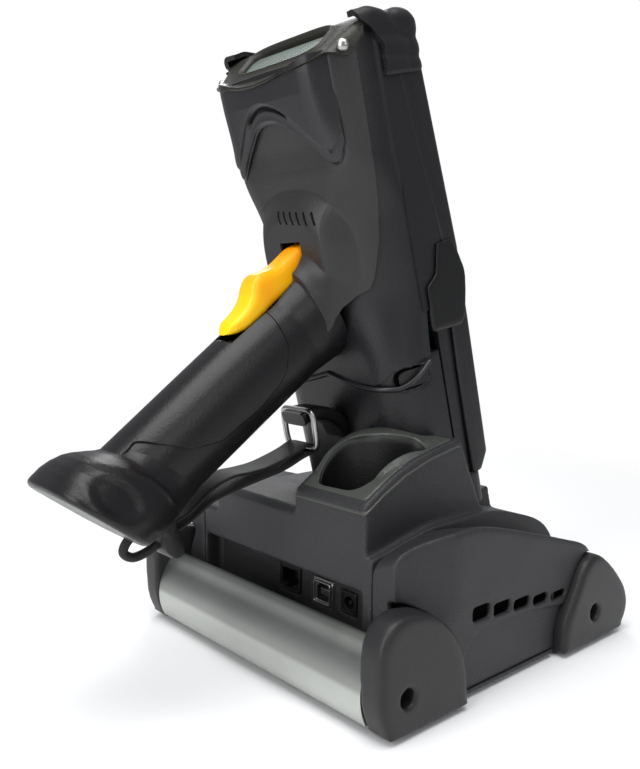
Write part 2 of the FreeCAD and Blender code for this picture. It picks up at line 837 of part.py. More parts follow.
def hand_strap():
    upper = [(72.6, 51.5), (78.0, 55.5), (86.0, 55.0), (95.0, 54.0), (112.0, 54.6), (128.0, 54.5),
             (142.0, 49.5)]
    lower = [(72.0, 48.2), (80.0, 48.5), (95.0, 46.5), (112.0, 46.8), (130.0, 46.5), (150.0, 43.5)]
    loop = [(158.5, 48.5), (167.0, 49.0), (173.0, 45.5), (171.5, 40.5), (164.0, 39.5), (158.5, 41.0)]
    return [strap_layers(upper, strap_thick, strap_half, strap_x),
            strap_layers(lower, strap_thick, strap_half, strap_x),
            strap_layers(loop, strap_thick, strap_half - 4, strap_x)]


def strap_clip():
    """Moulded buckle that hangs at the rear of the grip's foot."""
    profile = [(150.3, 50.0), (158.0, 51.0), (158.2, 38.0), (155.0, 33.5), (151.0, 33.5)]
    return side_prism(profile, strap_x - 8, strap_x + 8)


def side_curve():
    """Fender top edge in side view at its outer face, rear to front."""
    return [(66.0, 71.0), (56.9, 73.6), (42.4, 76.0), (26.9, 75.6), (10.3, 72.2), (-7.5, 67.2),
            (-26.6, 61.7), (-47.0, 55.5), (-60.0, 50.4), (-66.3, 42.2)]


def leaned(shape):
    """Lower the inner edge of a side cover, so that its top slopes inwards."""
    matrix = FreeCAD.Matrix()
    matrix.A31 = fender_lean
    matrix.A34 = -fender_lean * fender_outer
    return shape.transformGeometry(matrix)


def fender():
    """Hollow side cover with a row of vents, open to the inside."""
    closing = [(-66.3, -20.0), (fender_rear, -20.0), (fender_rear, 66.5), (fender_rear - 2, 69.0)]
    outer = leaned(curved_side_prism(side_curve(), closing, cradle_half + gap, fender_outer))
    outer = outer.common(box(0, BIG, -BIG, BIG, fender_low, BIG))
    drop = fender_wall + 0.6
    inner_curve = [(y * 0.96, z - drop) for y, z in side_curve()]
    inner_close = [(-63.0, -20.0), (fender_rear - drop, -20.0), (fender_rear - drop, 66.5 - drop)]
    inner = curved_side_prism(inner_curve, inner_close, cradle_half - 1, fender_outer - fender_wall)
    inner = leaned(inner).common(box(0, BIG, -BIG, BIG, fender_low + 3, BIG))
    shape = outer.cut(inner)
    for k in range(vent_count):
        share = k / (vent_count - 1)
        y = vent_first_y - vent_pitch * k
        low = vent_first_z - vent_drop * share
        tall = vent_tall * (1 - 0.6 * share)
        shape = shape.cut(box(60, 120, y - vent_pitch + 3.0, y, low, low + tall))
    return shape.removeSplitter()


def rear_cap_curve(grow):
    """Rear cap in side view, from its low front corner over the top to its low rear corner."""
    return [(39.8 - grow, cap_low), (40.2 - grow, 15.7), (46.8 - grow, 32.8), (53.8, 40.4 + grow),
            (61.5, 46.0 + grow), (73.8, 49.6 + grow), (84.5, 48.6 + grow), (91.0 + grow, 42.0),
            (92.8 + grow, 28.0), (91.0 + grow, 11.0), (86.5 + grow, cap_low)]


def front_cap_curve(grow):
    return [(-34.0 + grow, cap_low), (-36.0 + grow, 18.4), (-45.0 + grow, 33.3), (-52.0, 43.0 + grow),
            (-60.0, 46.0 + grow), (-72.0, 41.0 + grow), (-85.0 - grow, 30.0), (-92.5 - grow, 20.0),
            (-93.8 - grow, 13.0), (-91.0 - grow, 6.0), (-86.0, cap_low)]


def cap_solid(curve, x0, x1):
    return curved_side_prism(curve, [], x0, x1)


def corner_cap(curve, hole_y):
    """Hollow end cap with a through hole in a sleeve."""
    shape = cap_solid(curve(0), cap_inner, cap_outer)
    inner = cap_solid(curve(-cap_wall), cap_inner + cap_wall, cap_outer - cap_wall)
    inner = inner.common(depth_slab(-BIG, BIG, cap_low + cap_wall, BIG))
    start = V(cap_inner, hole_y, hole_z)
    sleeve = rod(start, V(1, 0, 0), cap_hole_r + cap_wall, cap_outer - cap_inner)
    return shape.cut(inner).fuse(sleeve).cut(rod(start - V(1, 0, 0), V(1, 0, 0), cap_hole_r, 30))


def bar(centre_y, facing):
    """Curved cover strip between two caps: part of a tube with closing lips."""
    length = 2 * cap_inner
    outer = rod(V(-cap_inner, centre_y, bar_z), V(1, 0, 0), bar_radius, length)
    shape = outer.cut(rod(V(-BIG, centre_y, bar_z), V(1, 0, 0), bar_radius - bar_wall, 2 * BIG))
    wedge = [(centre_y, bar_z)]
    for angle in (bar_low_angle, 0.0, bar_high_angle):
        turn = math.radians(angle)
        wedge.append((centre_y + facing * 80 * math.cos(turn), bar_z + 80 * math.sin(turn)))
    return shape.common(side_prism(wedge, -BIG, BIG))


def deck_profile():
    return [(cradle_rear, 64.0), (53.0, 67.7), (33.6, 71.3), (12.7, 72.0), (-8.0, 71.8), (-18.0, 70.3),
            (-35.0, 65.6), (-53.0, 58.0), (-62.0, 48.0), (-65.0, 36.0)]


def pocket(grow):
    """Space that the tail passes through when the terminal is lifted out."""
    return terminal(tail_form(grow + boot_thick, -gap, BIG))


def cradle_solid():
    closing = [(-65.0, base_high), (cradle_rear, base_high)]
    shape = curved_side_prism(deck_profile(), closing, -cradle_half, cradle_half)
    ridge = side_prism([(cradle_rear, 50), (cradle_rear, ridge_top - 3), (cradle_rear - 3, ridge_top),
                        (40, ridge_top), (ridge_front - 22, 69), (ridge_front - 22, 50)], ridge_left, ridge_right)
    return shape.fuse(ridge).fuse(block_solid(0))


def block_solid(inset):
    """Raised spare battery housing beside the grip."""
    curve = [(cradle_rear, 86.0), (61.4, 92.6), (47.6, 99.4), (32.6, 104.2), (16.9, 107.4), (11.0, block_top)]
    curve = [(y - (inset if y > 60 else 0), z - inset) for y, z in curve]
    front = -8.0 + inset
    closing = [(1.9 + inset, 90.0), (front, 70.0 - inset), (front, 50.0), (cradle_rear - inset, 50.0)]
    shape = curved_side_prism(curve, closing, block_left + inset, ridge_left - inset)
    dome = Part.makeSphere(dome_radius - inset, V(-30, 31, dome_top - dome_radius))
    room = box(block_left + 2 + inset, ridge_left - inset, 5, cradle_rear - 5, 60, BIG)
    return shape.fuse(dome.common(room))


def well_form(grow, low):
    """Slanted oval slot for the spare battery, parallel to the docked terminal."""
    points = [(-18.5, 68.0), (-48.0, 67.0), (-54.0, 28.0), (-46.0, 27.0), (-36.0, 40.0), (-18.5, 47.0)]
    face = outline([V(x, y, 0) for x, y in points])
    if grow:
        face = face.makeOffset2D(grow, 2)
    solid = face.extrude(V(0, 0, 200))
    edges = [e for e in solid.Edges if abs(e.tangentAt(e.FirstParameter).z) > 0.9]
    solid = solid.makeFillet(well_corner_r + grow, edges)
    solid.rotate(V(0, 0, 0), V(1, 0, 0), -well_lean)
    solid.translate(V(0, -7.0, 0))
    return solid.common(box(-BIG, BIG, -BIG, BIG, low, BIG))


def cradle_top():
    shape = cradle_solid()
    lower = curved_side_prism([(y * 0.955, z - 3.2) for y, z in deck_profile()],
                              [(-62.5, base_high - 2), (cradle_rear - cradle_wall, base_high - 2)],
                              -cradle_half + cradle_wall, cradle_half - cradle_wall)
    keep = terminal(box(-46, 46, -9, 54, -7.0, 2.0)).fuse(well_form(2.4, well_floor - 2.4))
    keep = keep.fuse(box(recess_left - 3, cradle_half, cradle_rear - recess_deep - 2.4, BIG,
                         recess_low - 2.4, recess_high + 2.4))
    shape = shape.fuse(terminal(box(-40, 40, -7, 20, -12.0, 2.0)))
    shape = shape.cut(lower.cut(keep))
    shape = shape.cut(block_solid(2.4).cut(keep.fuse(pocket(pocket_gap + 2.4))))
    recess = box(recess_left, cradle_half - 1.5, cradle_rear - recess_deep, BIG, recess_low, recess_high)
    shape = shape.cut(recess).cut(pocket(pocket_gap)).cut(well_form(0, well_floor))
    shape = shape.cut(terminal(box(-16, 16, 20, 34, -20, 5)))
    for cut in port_cuts():
        shape = shape.cut(cut)
    shape = shape.cut(lens_rod(led_radius, 10))
    return shape.removeSplitter()


def port_box(span, grow, y0, y1):
    x0, x1, z0, z1 = span
    return box(x0 - grow, x1 + grow, y0, y1, z0 - grow, z1 + grow)


def port_cuts():
    back = cradle_rear - recess_deep
    spans = (data_span, usb_span, power_span)
    return [port_box(span, 0, back - 6, cradle_rear) for span in spans]


def socket_block(span):
    back = cradle_rear - recess_deep
    return port_box(span, -0.1, back - socket_deep, back)


def data_socket():
    """Modular jack: wide mouth with a latch notch below."""
    x = 0.5 * (data_span[0] + data_span[1])
    mouth_y = cradle_rear - recess_deep
    shape = socket_block(data_span)
    shape = shape.cut(box(x - 5.8, x + 5.8, mouth_y - 8, BIG, 34.5, 42.0))
    return shape.cut(box(x - 2.0, x + 2.0, mouth_y - 8, BIG, 32.6, 35.0))


def usb_socket():
    """Square device port: metal shell with sloped upper corners and a centre tongue."""
    x = 0.5 * (usb_span[0] + usb_span[1])
    z = 0.5 * (usb_span[2] + usb_span[3])
    mouth_y = cradle_rear - recess_deep
    hollow = rear_prism([(x - 4.2, z - 4), (x + 4.2, z - 4), (x + 4.2, z + 2.4), (x + 2.8, z + 4),
                         (x - 2.8, z + 4), (x - 4.2, z + 2.4)], mouth_y - 8, mouth_y + 5)
    tongue = box(x - 2.8, x + 2.8, mouth_y - 8.2, mouth_y - 1, z - 1.5, z + 1.5)
    return socket_block(usb_span).cut(hollow).fuse(tongue)


def power_socket():
    x = 0.5 * (power_span[0] + power_span[1])
    z = 0.5 * (power_span[2] + power_span[3])
    mouth_y = cradle_rear - recess_deep
    barrel = rod(V(x, mouth_y - 8, z), V(0, 1, 0), 2.9, 20)
    pin = rod(V(x, mouth_y - 8.2, z), V(0, 1, 0), 1.0, 7.4)
    return socket_block(power_span).cut(barrel).fuse(pin)


def cradle_board():
    y1 = cradle_rear - recess_deep - socket_deep
    return box(recess_left + 1, 30, y1 - board_thick, y1, base_low + 3, recess_high)


def spare_contacts():
    """Four sprung blades on the floor of the spare battery slot."""
    blades = []
    for k in range(4):
        x = -42.0 + 4.2 * k
        floor = well_floor + liner_wall
        blades.append(side_prism([(44.0, floor), (52.0, floor), (50.0, floor + 3.2), (48.0, floor + 3.8),
                                  (46.0, floor + 3.2)], x - 0.8, x + 0.8))
    return blades


def base_screws():
    screws = []
    for x, y in screw_places():
        head = rod(V(x, y, base_low - 1.6), V(0, 0, 1), 2.9, 1.6)
        screws.append(head.fuse(rod(V(x, y, base_low), V(0, 0, 1), 1.5, 11)))
    return screws


def screw_places():
    return [(x, y) for x in (-50, 50) for y in (-38, 38)]


def lens_rod(radius, extra):
    axis = V(0, -0.5, 0.866)
    start = V(led_x, -51.0, 54.5) - axis * extra
    return rod(start, axis, radius, 5.0 + 2 * extra)


def led_lens():
    return lens_rod(led_radius, 0)


def cradle_base():
    outer = box(-cradle_half, cradle_half, -64.0, cradle_rear - 1, base_low, base_high)
    shape = outer.cut(box(-cradle_half + 3, cradle_half - 3, -61.0, cradle_rear - 4, base_low + 3, BIG))
    for side in (-1, 1):
        wing = box(cradle_half - 6, fender_outer - 1, -32.0, 36.0, base_low - 1.5, base_low)
        shape = shape.fuse(wing if side > 0 else mirrored(wing))
    for x, y in screw_places():
        shape = shape.fuse(rod(V(x, y, base_low), V(0, 0, 1), 4.0, base_high - base_low))
        shape = shape.cut(rod(V(x, y, base_low - 2), V(0, 0, 1), 1.5, 13))
    return shape.removeSplitter()


def rubber_feet():
    feet = []
    for x in (-44, 44):
        for y in (-54, 56):
            feet.append(rod(V(x, y, 0), V(0, 0, 1), foot_radius, base_low))
    return feet


def well_liner():
    """Thin ribbed sleeve inside the spare battery slot."""
    shape = well_form(-0.1, well_floor).cut(well_form(-liner_wall, well_floor + liner_wall))
    return shape.common(box(-BIG, BIG, -BIG, BIG, 0, 80))


def dock_pins():
    pins = []
    for k in range(6):
        pin = rod(V(-11.0 + 4.4 * k, 27, pin_low), V(0, 0, 1), 0.9, pad_height - pin_gap - pin_low)
        pins.append(terminal(pin))
    return pins


def dock_plate():
    plate = box(-15.7, 15.7, 20.3, 33.7, -11.0, -1.0)
    for k in range(6):
        plate = plate.cut(rod(V(-11.0 + 4.4 * k, 27, -30), V(0, 0, 1), 0.9 + pin_gap, 60))
    return terminal(plate)


def build():
    os.makedirs("parts", exist_ok=True)
    export("front_housing", terminal(front_housing()))
    export("rear_housing", terminal(rear_housing()))
    export("shield_cover", terminal(shield_cover()))
    export("head_collar", terminal(head_collar()))
    export("window_bezel", terminal(window_bezel()))
    export("scan_window", terminal(scan_window()))
    export("scan_engine", terminal(scan_engine()))
    export("top_boot", terminal(top_boot()))
    export("mid_bumper", *terminal(mid_bumper()).Solids)
    export("tail_boot", *terminal(tail_boot()).Solids)
    export("display_glass", terminal(display_glass()))
    export("display_module", terminal(display_module()))
    export("keypad_frame", terminal(keypad_frame()))
    export("keypad_membrane", terminal(keypad_membrane()))
    export("main_board", terminal(main_board()))
    for row in range(key_rows):
        export("key_row_%d" % (row + 1), *[terminal(key) for key in key_row(row)])
    export("battery_pack", terminal(battery_pack()))
    export("battery_latch_right", terminal(latch_form(1, 0)))
    export("battery_latch_left", terminal(latch_form(-1, 0)))
    export("dock_connector", terminal(dock_connector()))
    export("terminal_screws", *[terminal(terminal_screw(side)) for side in (-1, 1)])
    export("handle_shell", terminal(handle_shell()))
    export("handle_grip", terminal(handle_grip()))
    export("handle_foot", terminal(handle_foot()))
    export("foot_plug", terminal(foot_plug()))
    export("trigger", terminal(trigger()))
    export("trigger_pin", terminal(trigger_pin()))
    export("trigger_spring", terminal(trigger_spring()))
    export("trigger_switch", terminal(trigger_switch()))
    export("power_key", terminal(power_key()))
    export("strap_tab", terminal(strap_tab()))
    export("strap_ring", terminal(strap_ring()))
    export("hand_strap", *[terminal(s) for s in hand_strap()])
    export("strap_clip", terminal(strap_clip()))
    export("cradle_top", cradle_top())
    export("cradle_base", cradle_base())
    right = fender()
    for name, curve, hole_y in (("rear", rear_cap_curve, rear_hole_y), ("front", front_cap_curve, front_hole_y)):
        cap = corner_cap(curve, hole_y)
        right = right.cut(cap_solid(curve(gap / 2), cap_inner - gap / 2, cap_outer + 1))
        export("%s_caps" % name, cap, mirrored(cap))
    export("fender_right", right)
    export("fender_left", mirrored(right))
    export("rear_bar", bar(rear_bar_y, 1))
    export("front_bar", bar(front_bar_y, -1))
    export("rubber_feet", *rubber_feet())
    export("well_liner", well_liner())
    export("data_socket", data_socket())
    export("usb_socket", usb_socket())
    export("power_socket", power_socket())
    export("cradle_board", cradle_board())
    export("spare_contacts", *spare_contacts())
    export("base_screws", *base_screws())
    export("led_lens", led_lens())
    export("dock_pins", *dock_pins())
    export("dock_plate", dock_plate())


build()
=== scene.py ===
import json
import math

import bmesh
import bpy
import numpy as np
from mathutils import Matrix, Vector


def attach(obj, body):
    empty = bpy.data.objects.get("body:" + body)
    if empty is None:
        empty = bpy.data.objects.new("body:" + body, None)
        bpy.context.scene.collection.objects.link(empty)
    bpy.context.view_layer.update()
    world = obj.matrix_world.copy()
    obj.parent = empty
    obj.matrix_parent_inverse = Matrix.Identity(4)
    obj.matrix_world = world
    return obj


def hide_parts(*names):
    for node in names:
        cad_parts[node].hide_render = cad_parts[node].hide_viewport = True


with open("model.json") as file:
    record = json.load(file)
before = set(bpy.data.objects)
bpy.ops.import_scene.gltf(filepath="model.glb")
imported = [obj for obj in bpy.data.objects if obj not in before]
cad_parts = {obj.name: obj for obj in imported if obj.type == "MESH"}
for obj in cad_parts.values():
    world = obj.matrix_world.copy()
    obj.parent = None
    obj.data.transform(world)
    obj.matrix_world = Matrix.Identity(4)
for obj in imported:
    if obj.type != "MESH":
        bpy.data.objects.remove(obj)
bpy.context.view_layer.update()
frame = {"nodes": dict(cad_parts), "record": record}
NODES = frame["nodes"]
MM = 0.001

# The terminal's own frame in millimetres: x to the right, r = depth behind the display
# face, l = height above the tail. It leans back by TILT in the cradle.
TILT = math.radians(15.7)
DOCK_Y, DOCK_Z = -28.6, 72.8


def to_world(local):
    """(x, r, l) in mm to the row frame in metres: y = -28.6 + r cos t + l sin t, z = 72.8 - r sin t + l cos t."""
    local = np.asarray(local, float)
    x, r, l = local[..., 0], local[..., 1], local[..., 2]
    y = DOCK_Y + r * math.cos(TILT) + l * math.sin(TILT)
    z = DOCK_Z - r * math.sin(TILT) + l * math.cos(TILT)
    return np.stack([x, y, z], -1) * MM


def smooth(value, low, high):
    """0 below low, 1 above high, and 3t^2 - 2t^3 between."""
    t = np.clip((np.asarray(value, float) - low) / (high - low), 0, 1)
    return t * t * (3 - 2 * t)


def bell(value, centre, width):
    """exp(-((value - centre) / width)^2)."""
    return np.exp(-((value - centre) / width) ** 2)


def signed_power(value, power):
    """|value|^power with the sign of value, for the corners of superellipses."""
    return np.sign(value) * np.abs(value) ** power


def full_turn(count):
    return np.linspace(0, 2 * math.pi, count, endpoint=False)


# ---------------------------------------------------------------- camera, light, floor

CAMERA_PLACE = (-0.290, 0.303, 0.170)
CAMERA_YAW, CAMERA_PITCH, CAMERA_ROLL = (math.radians(a) for a in (41.5, 5.8, 0.51))
SENSOR = 36.0
FOCAL_PIXELS, PICTURE_PIXELS = 809.0, 769.0

# Name, place, target, size, watts.
LIGHTS = [
    ("light_top", (-0.15, 0.25, 1.05), (0, 0, 0.1), (0.9, 0.7), 9.5),
    ("light_left", (-0.10, 1.00, 0.55), (0, 0.05, 0.15), (0.5, 0.9), 6),
    ("light_camera", (-0.95, 0.20, 0.60), (0, 0, 0.12), (0.5, 0.5), 1.5),
    ("light_far", (0.70, -0.55, 0.75), (0, 0, 0.15), (0.6, 0.6), 3.5),
]
GLOW = {"Color": (0.93, 0.96, 1.0, 1), "Strength": 0.34}
PAPER = {"Base Color": (0.93, 0.93, 0.935, 1), "Roughness": 0.55, "Specular IOR Level": 0.25}
# Distances from the middle over which the floor fades to plain white, in metres.
FADE = {"From Min": 0.26, "From Max": 0.62}
FLOOR_HALF, FLOOR_DROP = 6, 0.0002


def place_camera():
    yaw, pitch, roll = CAMERA_YAW, CAMERA_PITCH, CAMERA_ROLL
    forward = Vector((math.cos(yaw) * math.cos(pitch), -math.sin(yaw) * math.cos(pitch), -math.sin(pitch)))
    right = forward.cross(Vector((0, 0, 1))).normalized()
    up = right.cross(forward)
    turned_right = right * math.cos(roll) + up * math.sin(roll)
    turned_up = up * math.cos(roll) - right * math.sin(roll)
    matrix = Matrix((turned_right, turned_up, -forward)).transposed().to_4x4()
    matrix.translation = Vector(CAMERA_PLACE)
    data = bpy.data.cameras.new("camera")
    data.sensor_width = SENSOR
    data.lens = SENSOR * FOCAL_PIXELS / PICTURE_PIXELS
    data.clip_start = 0.01
    camera = bpy.data.objects.new("camera", data)
    bpy.context.scene.collection.objects.link(camera)
    camera.matrix_world = matrix
    bpy.context.scene.camera = camera


def new_node(tree, kind, inputs=None, **settings):
    """A shader node with its settings and the values of its free inputs."""
    node = tree.nodes.new(kind)
    for key, value in settings.items():
        setattr(node, key, value)
    for key, value in (inputs or {}).items():
        node.inputs[key].default_value = value
    return node


def wire(tree, *pairs):
    for source, target in pairs:
        tree.links.new(source, target)


def light_scene():
    """Soft area lights, a dim glow all round, and plain white where the camera sees past everything."""
    for name, place, target, size, watts in LIGHTS:
        data = bpy.data.lights.new(name, "AREA")
        data.shape = "RECTANGLE"
        data.size, data.size_y = size
        data.energy = watts
        light = bpy.data.objects.new(name, data)
        bpy.context.scene.collection.objects.link(light)
        light.location = place
        light.rotation_euler = (Vector(target) - Vector(place)).to_track_quat("-Z", "Y").to_euler()
    world = bpy.data.worlds.new("studio")
    bpy.context.scene.world = world
    world.use_nodes = True
    tree = world.node_tree
    tree.nodes.clear()
    out = new_node(tree, "ShaderNodeOutputWorld")
    mix = new_node(tree, "ShaderNodeMixShader")
    seen = new_node(tree, "ShaderNodeBackground", {"Color": (1, 1, 1, 1), "Strength": 1.0})
    glow = new_node(tree, "ShaderNodeBackground", GLOW)
    path = new_node(tree, "ShaderNodeLightPath")
    either = new_node(tree, "ShaderNodeMath", operation="MAXIMUM")
    wire(tree,
         (path.outputs["Is Camera Ray"], either.inputs[0]),
         (path.outputs["Is Transmission Ray"], either.inputs[1]),
         (either.outputs[0], mix.inputs[0]),
         (glow.outputs[0], mix.inputs[1]),
         (seen.outputs[0], mix.inputs[2]),
         (mix.outputs[0], out.inputs["Surface"]))


def make_floor():
    """Pale paper that fades to plain white, for the camera only, away from the object."""
    h = FLOOR_HALF
    floor = add_object("floor", [(-h, -h, 0), (h, -h, 0), (h, h, 0), (-h, h, 0)], [(0, 1, 2, 3)])
    floor.location.z = -FLOOR_DROP
    material = bpy.data.materials.new("paper")
    material.use_nodes = True
    tree = material.node_tree
    shader = tree.nodes["Principled BSDF"]
    for key, value in PAPER.items():
        shader.inputs[key].default_value = value
    coord = new_node(tree, "ShaderNodeTexCoord")
    away = new_node(tree, "ShaderNodeVectorMath", operation="LENGTH")
    fade = new_node(tree, "ShaderNodeMapRange", FADE, interpolation_type="SMOOTHSTEP")
    path = new_node(tree, "ShaderNodeLightPath")
    share = new_node(tree, "ShaderNodeMath", operation="MULTIPLY")
    white = new_node(tree, "ShaderNodeEmission", {"Strength": 1.0})
    mix = new_node(tree, "ShaderNodeMixShader")
    wire(tree,
         (coord.outputs["Object"], away.inputs[0]),
         (away.outputs["Value"], fade.inputs["Value"]),
         (fade.outputs["Result"], share.inputs[0]),
         (path.outputs["Is Camera Ray"], share.inputs[1]),
         (share.outputs[0], mix.inputs[0]),
         (shader.outputs[0], mix.inputs[1]),
         (white.outputs[0], mix.inputs[2]),
         (mix.outputs[0], tree.nodes["Material Output"].inputs["Surface"]))
    floor.data.materials.append(material)


# ---------------------------------------------------------------- materials

def moulded_group():
    """Moulded surface: colour that drifts a little, two sizes of grain, and a few fine rubbed marks.
    height = fine noise * Grain + coarse noise * Ripple; rough = Rough + (noise - 0.5) * Spread."""
    group = bpy.data.node_groups.new("moulded_surface", "ShaderNodeTree")
    for name, kind, default in (
        ("Base", "NodeSocketColor", (0.02, 0.02, 0.02, 1)), ("Tone", "NodeSocketFloat", 0.15),
        ("Rough", "NodeSocketFloat", 0.4), ("Spread", "NodeSocketFloat", 0.1),
        ("Grain Size", "NodeSocketFloat", 900.0), ("Grain", "NodeSocketFloat", 0.1),
        ("Ripple", "NodeSocketFloat", 0.05), ("Rub", "NodeSocketFloat", 0.1),
    ):
        item = group.interface.new_socket(name=name, in_out="INPUT", socket_type=kind)
        item.default_value = default
    for name, kind in (("Color", "Color"), ("Roughness", "Float"), ("Normal", "Vector")):
        group.interface.new_socket(name=name, in_out="OUTPUT", socket_type="NodeSocket" + kind)
    inp = new_node(group, "NodeGroupInput").outputs
    out = new_node(group, "NodeGroupOutput").inputs
    place = new_node(group, "ShaderNodeTexCoord").outputs["Object"]

    def noise(scale, detail, distortion=0.0):
        values = {"Scale": scale, "Detail": detail, "Distortion": distortion}
        node = new_node(group, "ShaderNodeTexNoise", values)
        wire(group, (place, node.inputs["Vector"]))
        return node

    def maths(operation, a, b, clamp=False):
        node = new_node(group, "ShaderNodeMath", operation=operation, use_clamp=clamp)
        for i, value in enumerate((a, b)):
            if isinstance(value, (int, float)):
                node.inputs[i].default_value = value
            else:
                wire(group, (value, node.inputs[i]))
        return node.outputs[0]

    drift = noise(22.0, 3.0).outputs["Fac"]
    patch = noise(75.0, 4.0, 0.6).outputs["Fac"]
    fine = noise(900.0, 2.0)
    wire(group, (inp["Grain Size"], fine.inputs["Scale"]))
    ripple = noise(130.0, 2.0).outputs["Fac"]
    scratch = noise(260.0, 6.0, 2.4).outputs["Fac"]
    mark = maths("MULTIPLY", maths("SUBTRACT", scratch, 0.62, True), 6.0, True)
    mark = maths("MULTIPLY", mark, inp["Rub"])
    tone = maths("MULTIPLY", maths("SUBTRACT", drift, 0.5), inp["Tone"])
    tone = maths("ADD", tone, maths("MULTIPLY", mark, 0.35))
    bright = maths("ADD", 1.0, maths("MULTIPLY", tone, 2.0))
    colour = new_node(group, "ShaderNodeVectorMath", operation="SCALE")
    rough = maths("MULTIPLY", maths("SUBTRACT", patch, 0.5), inp["Spread"])
    rough = maths("ADD", maths("ADD", rough, inp["Rough"]), maths("MULTIPLY", mark, 0.4), True)
    height = maths("MULTIPLY", fine.outputs["Fac"], inp["Grain"])
    height = maths("ADD", height, maths("MULTIPLY", ripple, inp["Ripple"]))
    bump = new_node(group, "ShaderNodeBump", {"Strength": 1.0, "Distance": 0.0002})
    wire(group,
         (inp["Base"], colour.inputs[0]),
         (bright, colour.inputs["Scale"]),
         (colour.outputs[0], out["Color"]),
         (rough, out["Roughness"]),
         (height, bump.inputs["Height"]),
         (bump.outputs["Normal"], out["Normal"]))
    return group


MOULDED = moulded_group()


def plastic(name, base, rough, grain=0.5, size=900.0, tone=0.15, spread=0.10, ripple=0.04, rub=0.06,
            metallic=0.0, coat=0.0, specular=0.34, sheen=0.0):
    material = bpy.data.materials.new(name)
    material.use_nodes = True
    tree = material.node_tree
    shader = tree.nodes["Principled BSDF"]
    group = tree.nodes.new("ShaderNodeGroup")
    group.node_tree = MOULDED
    for key, value in (("Base", (*base, 1)), ("Tone", tone), ("Rough", rough), ("Spread", spread),
                       ("Grain Size", size), ("Grain", grain), ("Ripple", ripple), ("Rub", rub)):
        group.inputs[key].default_value = value
    for key, value in (("Metallic", metallic), ("Coat Weight", coat), ("Coat Roughness", 0.25),
                       ("Specular IOR Level", specular), ("Sheen Weight", sheen), ("Sheen Roughness", 0.4)):
        shader.inputs[key].default_value = value
    wire(tree, *((group.outputs[a], shader.inputs[b]) for a, b in (
        ("Color", "Base Color"), ("Roughness", "Roughness"), ("Normal", "Normal"))))
    return material


def ramp_node(tree, stops):
    """Colour ramp with eased steps between the stops, each a place from 0 to 1 and a colour."""
    ramp = new_node(tree, "ShaderNodeValToRGB")
    ramp.color_ramp.interpolation = "EASE"
    points = ramp.color_ramp.elements
    for i, (place, colour) in enumerate(stops):
        point = points[i] if i < 2 else points.new(place)
        point.position = place
        point.color = (*colour, 1)
    return ramp


def paint_shade_by_height(material, stops):
    """Multiplies a material's colour by painted shade and painted reflection bands that change with height, z in
    mm.
    """
    tree = material.node_tree
    target = tree.nodes["Principled BSDF"].inputs["Base Color"]
    low, high = stops[0][0], stops[-1][0]
    ramp = ramp_node(tree, [((z - low) / (high - low), (value,) * 3) for z, value in stops])
    coord = new_node(tree, "ShaderNodeTexCoord")
    split = new_node(tree, "ShaderNodeSeparateXYZ")
    height = new_node(tree, "ShaderNodeMapRange", {"From Min": low * MM, "From Max": high * MM})
    mix = new_node(tree, "ShaderNodeMix", data_type="RGBA", blend_type="MULTIPLY")
    mix.inputs["Factor"].default_value = 1.0
    wire(tree,
         (coord.outputs["Object"], split.inputs[0]),
         (split.outputs["Z"], height.inputs["Value"]),
         (height.outputs["Result"], ramp.inputs["Fac"]),
         (target.links[0].from_socket, mix.inputs[6]),
         (ramp.outputs["Color"], mix.inputs[7]),
         (mix.outputs[2], target))


def lengthwise(material, stops):
    """Base colour from a ramp along the piece's own UV map, v from one end to the other."""
    tree = material.node_tree
    uv = new_node(tree, "ShaderNodeUVMap", uv_map="UVMap")
    split = new_node(tree, "ShaderNodeSeparateXYZ")
    ramp = ramp_node(tree, stops)
    wire(tree,
         (uv.outputs["UV"], split.inputs[0]),
         (split.outputs["Y"], ramp.inputs["Fac"]),
         (ramp.outputs["Color"], tree.nodes["Principled BSDF"].inputs["Base Color"]))


TRIGGER_COLOURS = [(0.0, (1.0, 0.60, 0.0)), (0.30, (1.0, 0.52, 0.002)), (0.45, (1.0, 0.42, 0.0)),
                   (0.62, (0.98, 0.46, 0.0)), (1.0, (0.95, 0.28, 0.0))]
# Painted reflection and shade on the bar by height in mm: dark at the top edge, which reflects the dark recess, a
# light line below it, darker across the upper half and lighter below.
BAR_PAINTED_SHADE_BANDS = [(4.0, 0.75), (6.0, 1.0), (17.0, 1.0), (20.0, 0.62), (30.0, 0.50), (34.0, 0.92), (36.2, 0.55),
             (37.8, 0.12)]

GLASSY = {"grain": 0.0, "ripple": 0.0, "rub": 0.03, "spread": 0.03, "coat": 0.6}
METAL = {"grain": 0.2, "metallic": 1.0}
